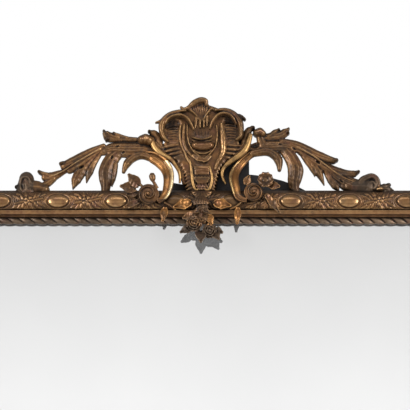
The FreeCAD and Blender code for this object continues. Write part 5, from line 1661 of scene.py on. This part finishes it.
# %% Backing board
low_corner, high_corner = (np.array(v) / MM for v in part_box("crest_backing"))
reach, rise = (high_corner[0] - low_corner[0]) / 2, high_corner[2] - RAIL_TOP
bow = (reach ** 2 + rise ** 2) / (2 * rise)
SHOULDER_X, SHOULDER_UP, BROKEN = -44.0, 29, 0.6
arch_x = np.linspace(high_corner[0], SHOULDER_X, 60)
arch_z = high_corner[2] - bow + np.sqrt(bow ** 2 - (arch_x - high_corner[0] + reach) ** 2)
outline = [*zip(arch_x, arch_z), (low_corner[0] + 3, RAIL_TOP + SHOULDER_UP),
           (low_corner[0], RAIL_TOP + SHOULDER_UP - 3), (low_corner[0], low_corner[2]),
           (high_corner[0], low_corner[2])]
centre = np.mean(outline, axis=0)
rings = []
for y, inset in ((high_corner[1], BROKEN), (high_corner[1] - BROKEN, 0.0), (low_corner[1] + BROKEN, 0.0),
                 (low_corner[1], BROKEN)):
    rings.append([(x - inset * np.sign(x - centre[0]), y, z - inset * np.sign(z - centre[1]))
                  for x, z in outline])
board = make_piece("backing_board", [ring_shell(rings)], ["crest_backing"], BLACK, voxel=None, rounds=0)
board.data.polygons.foreach_set("use_smooth", [False] * len(board.data.polygons))

# %% [markdown]
# ## Corner leaves
# At each mitre a broad three-fingered leaf hides the joint. The real corners aren't known, so this is the
# usual answer for such a frame. Three fluted leaves are swept from the corner and melted into one, which is
# quicker than a drawing on a board where only four plain leaves are needed.

# %% Corner leaves
def corner_shells(sx, sz):
    """Three leaves from a corner; u and v run inwards from the outer edges, h towards the viewer."""
    x0, z0, low = sx * FRAME_W / 2, CENTRE_Z + sz * FRAME_H / 2, -50.0

    def at(u, v, h=0.0):
        return (x0 - sx * u, low - h, z0 - sz * v)
    shells = []
    for u, v in ((100, 26), (26, 100)):
        line = [at(12, 12), at((12 + u) * 0.5, (12 + v) * 0.5, 3), at(u, v, 1)]
        shells.append(sweep(line, [9, 15, 3], leaf_section(3, 15, 5.0, 5.0, 2.2), 40))
    line = [at(10, 10, 2), at(33, 33, 5), at(57, 57, 8)]
    shells.append(sweep(line, [10, 16, 4], leaf_section(3, 16, 5.0, 5.0, 2.2), 40))
    return shells


for sx, sz, name in ((-1, 1, "top_left"), (1, 1, "top_right"), (-1, -1, "bottom_left"),
                     (1, -1, "bottom_right")):
    make_piece(f"corner_leaf_{name}_carved", corner_shells(sx, sz), [f"corner_leaf_{name}"])

# %% [markdown]
# ## Stage, light and camera
# The studio is a pale floor under a white surround. Two tall soft lights stand left and right in front of
# the crest, so that each boss shows a highlight at both ends, and a weak one fills from above. A mirror
# shows what stands opposite, so the surround is graded for reflections and plain white for the camera. The
# camera looks up a little.

# %% Floor
bpy.ops.mesh.primitive_plane_add(size=9.0, location=(0, -1.2, cad_box[0][2] - 0.002))
floor = bpy.context.object
floor.name = "studio_floor"
floor.data.materials.append(mottled("pale_floor", (0.80, 0.80, 0.80), (0.83, 0.83, 0.83), 2.0, (0.6, 0.7)))
print("floor at", round(floor.location.z, 3), "m")

# %% Surround
world = bpy.data.worlds.new("white_surround")
bpy.context.scene.world = world
world.use_nodes = True
tree = world.node_tree
sky = tree.nodes["Background"]
rays = tree.nodes.new("ShaderNodeLightPath")
direction = tree.nodes.new("ShaderNodeSeparateXYZ")
tree.links.new(tree.nodes.new("ShaderNodeTexCoord").outputs["Generated"], direction.inputs[0])
fall = tree.nodes.new("ShaderNodeValToRGB")
tree.links.new(ramp(tree, direction.outputs["Z"], -0.2, 0.8), fall.inputs["Fac"])
stops = ((0.0, 0.92), (0.27, 0.98), (0.39, 0.72), (0.60, 0.42), (1.0, 0.30))
for i, (at, tone) in enumerate(stops):
    stop = fall.color_ramp.elements[i] if i < 2 else fall.color_ramp.elements.new(at)
    stop.position = at
    stop.color = (tone, tone, tone, 1)
shade = tint(tree, rays.outputs["Is Glossy Ray"], (0.40, 0.40, 0.40), fall.outputs["Color"])
seen = sums(tree, "MAXIMUM", rays.outputs["Is Camera Ray"], rays.outputs["Is Transmission Ray"])
tree.links.new(tint(tree, seen, shade, (1.0, 1.0, 1.0)), sky.inputs["Color"])
sky.inputs["Strength"].default_value = 1.0
print("surround:", world.name)

# %% Lights
def soft_light(name, place, aim, size, power):
    """A soft box that is turned towards a place."""
    lamp = bpy.data.lights.new(name, "AREA")
    lamp.shape = "RECTANGLE"
    lamp.size, lamp.size_y = size
    lamp.energy = power
    holder = bpy.data.objects.new(name, lamp)
    bpy.context.scene.collection.objects.link(holder)
    holder.location = place
    holder.rotation_euler = (Vector(aim) - Vector(place)).to_track_quat("-Z", "Y").to_euler()
    return holder


soft_light("left_softbox", (-2.1, -1.7, 0.25), (-0.1, 0.0, 0.05), (0.7, 1.6), 60)
soft_light("right_softbox", (2.1, -1.7, 0.25), (0.1, 0.0, 0.05), (0.7, 1.6), 60)
soft_light("top_fill", (0.0, -2.2, 2.2), (0.0, 0.0, 0.0), (2.4, 0.8), 25)
print("three soft lights")

# %% Camera
camera_data = bpy.data.cameras.new("photo_camera")
camera = bpy.data.objects.new("photo_camera", camera_data)
bpy.context.scene.collection.objects.link(camera)
aim = Vector((0.0038, -0.060, 0.001))
pitch, away = math.radians(12.5), 3.176
HALF_PICTURE, FOCAL = 205, 1323
camera.location = aim + Vector((0, -away * math.cos(pitch), -away * math.sin(pitch)))
camera.rotation_euler = (aim - camera.location).to_track_quat("-Z", "Y").to_euler()
camera_data.angle = 2 * math.atan(HALF_PICTURE / FOCAL)
camera_data.clip_end = 60
bpy.context.scene.camera = camera
bpy.context.scene.view_settings.view_transform = "Standard"
print("camera", round(away, 2), "m away, looking up", round(math.degrees(pitch), 1), "degrees")

# %% [markdown]
# ## Measure and finish
# The construction model's box, measured when it was loaded, is printed. The dressed object may pass the
# construction model's box only by the thickness of its carving.

# %% Construction box
print("construction box", [[round(float(c), 4) for c in v] for v in cad_box])
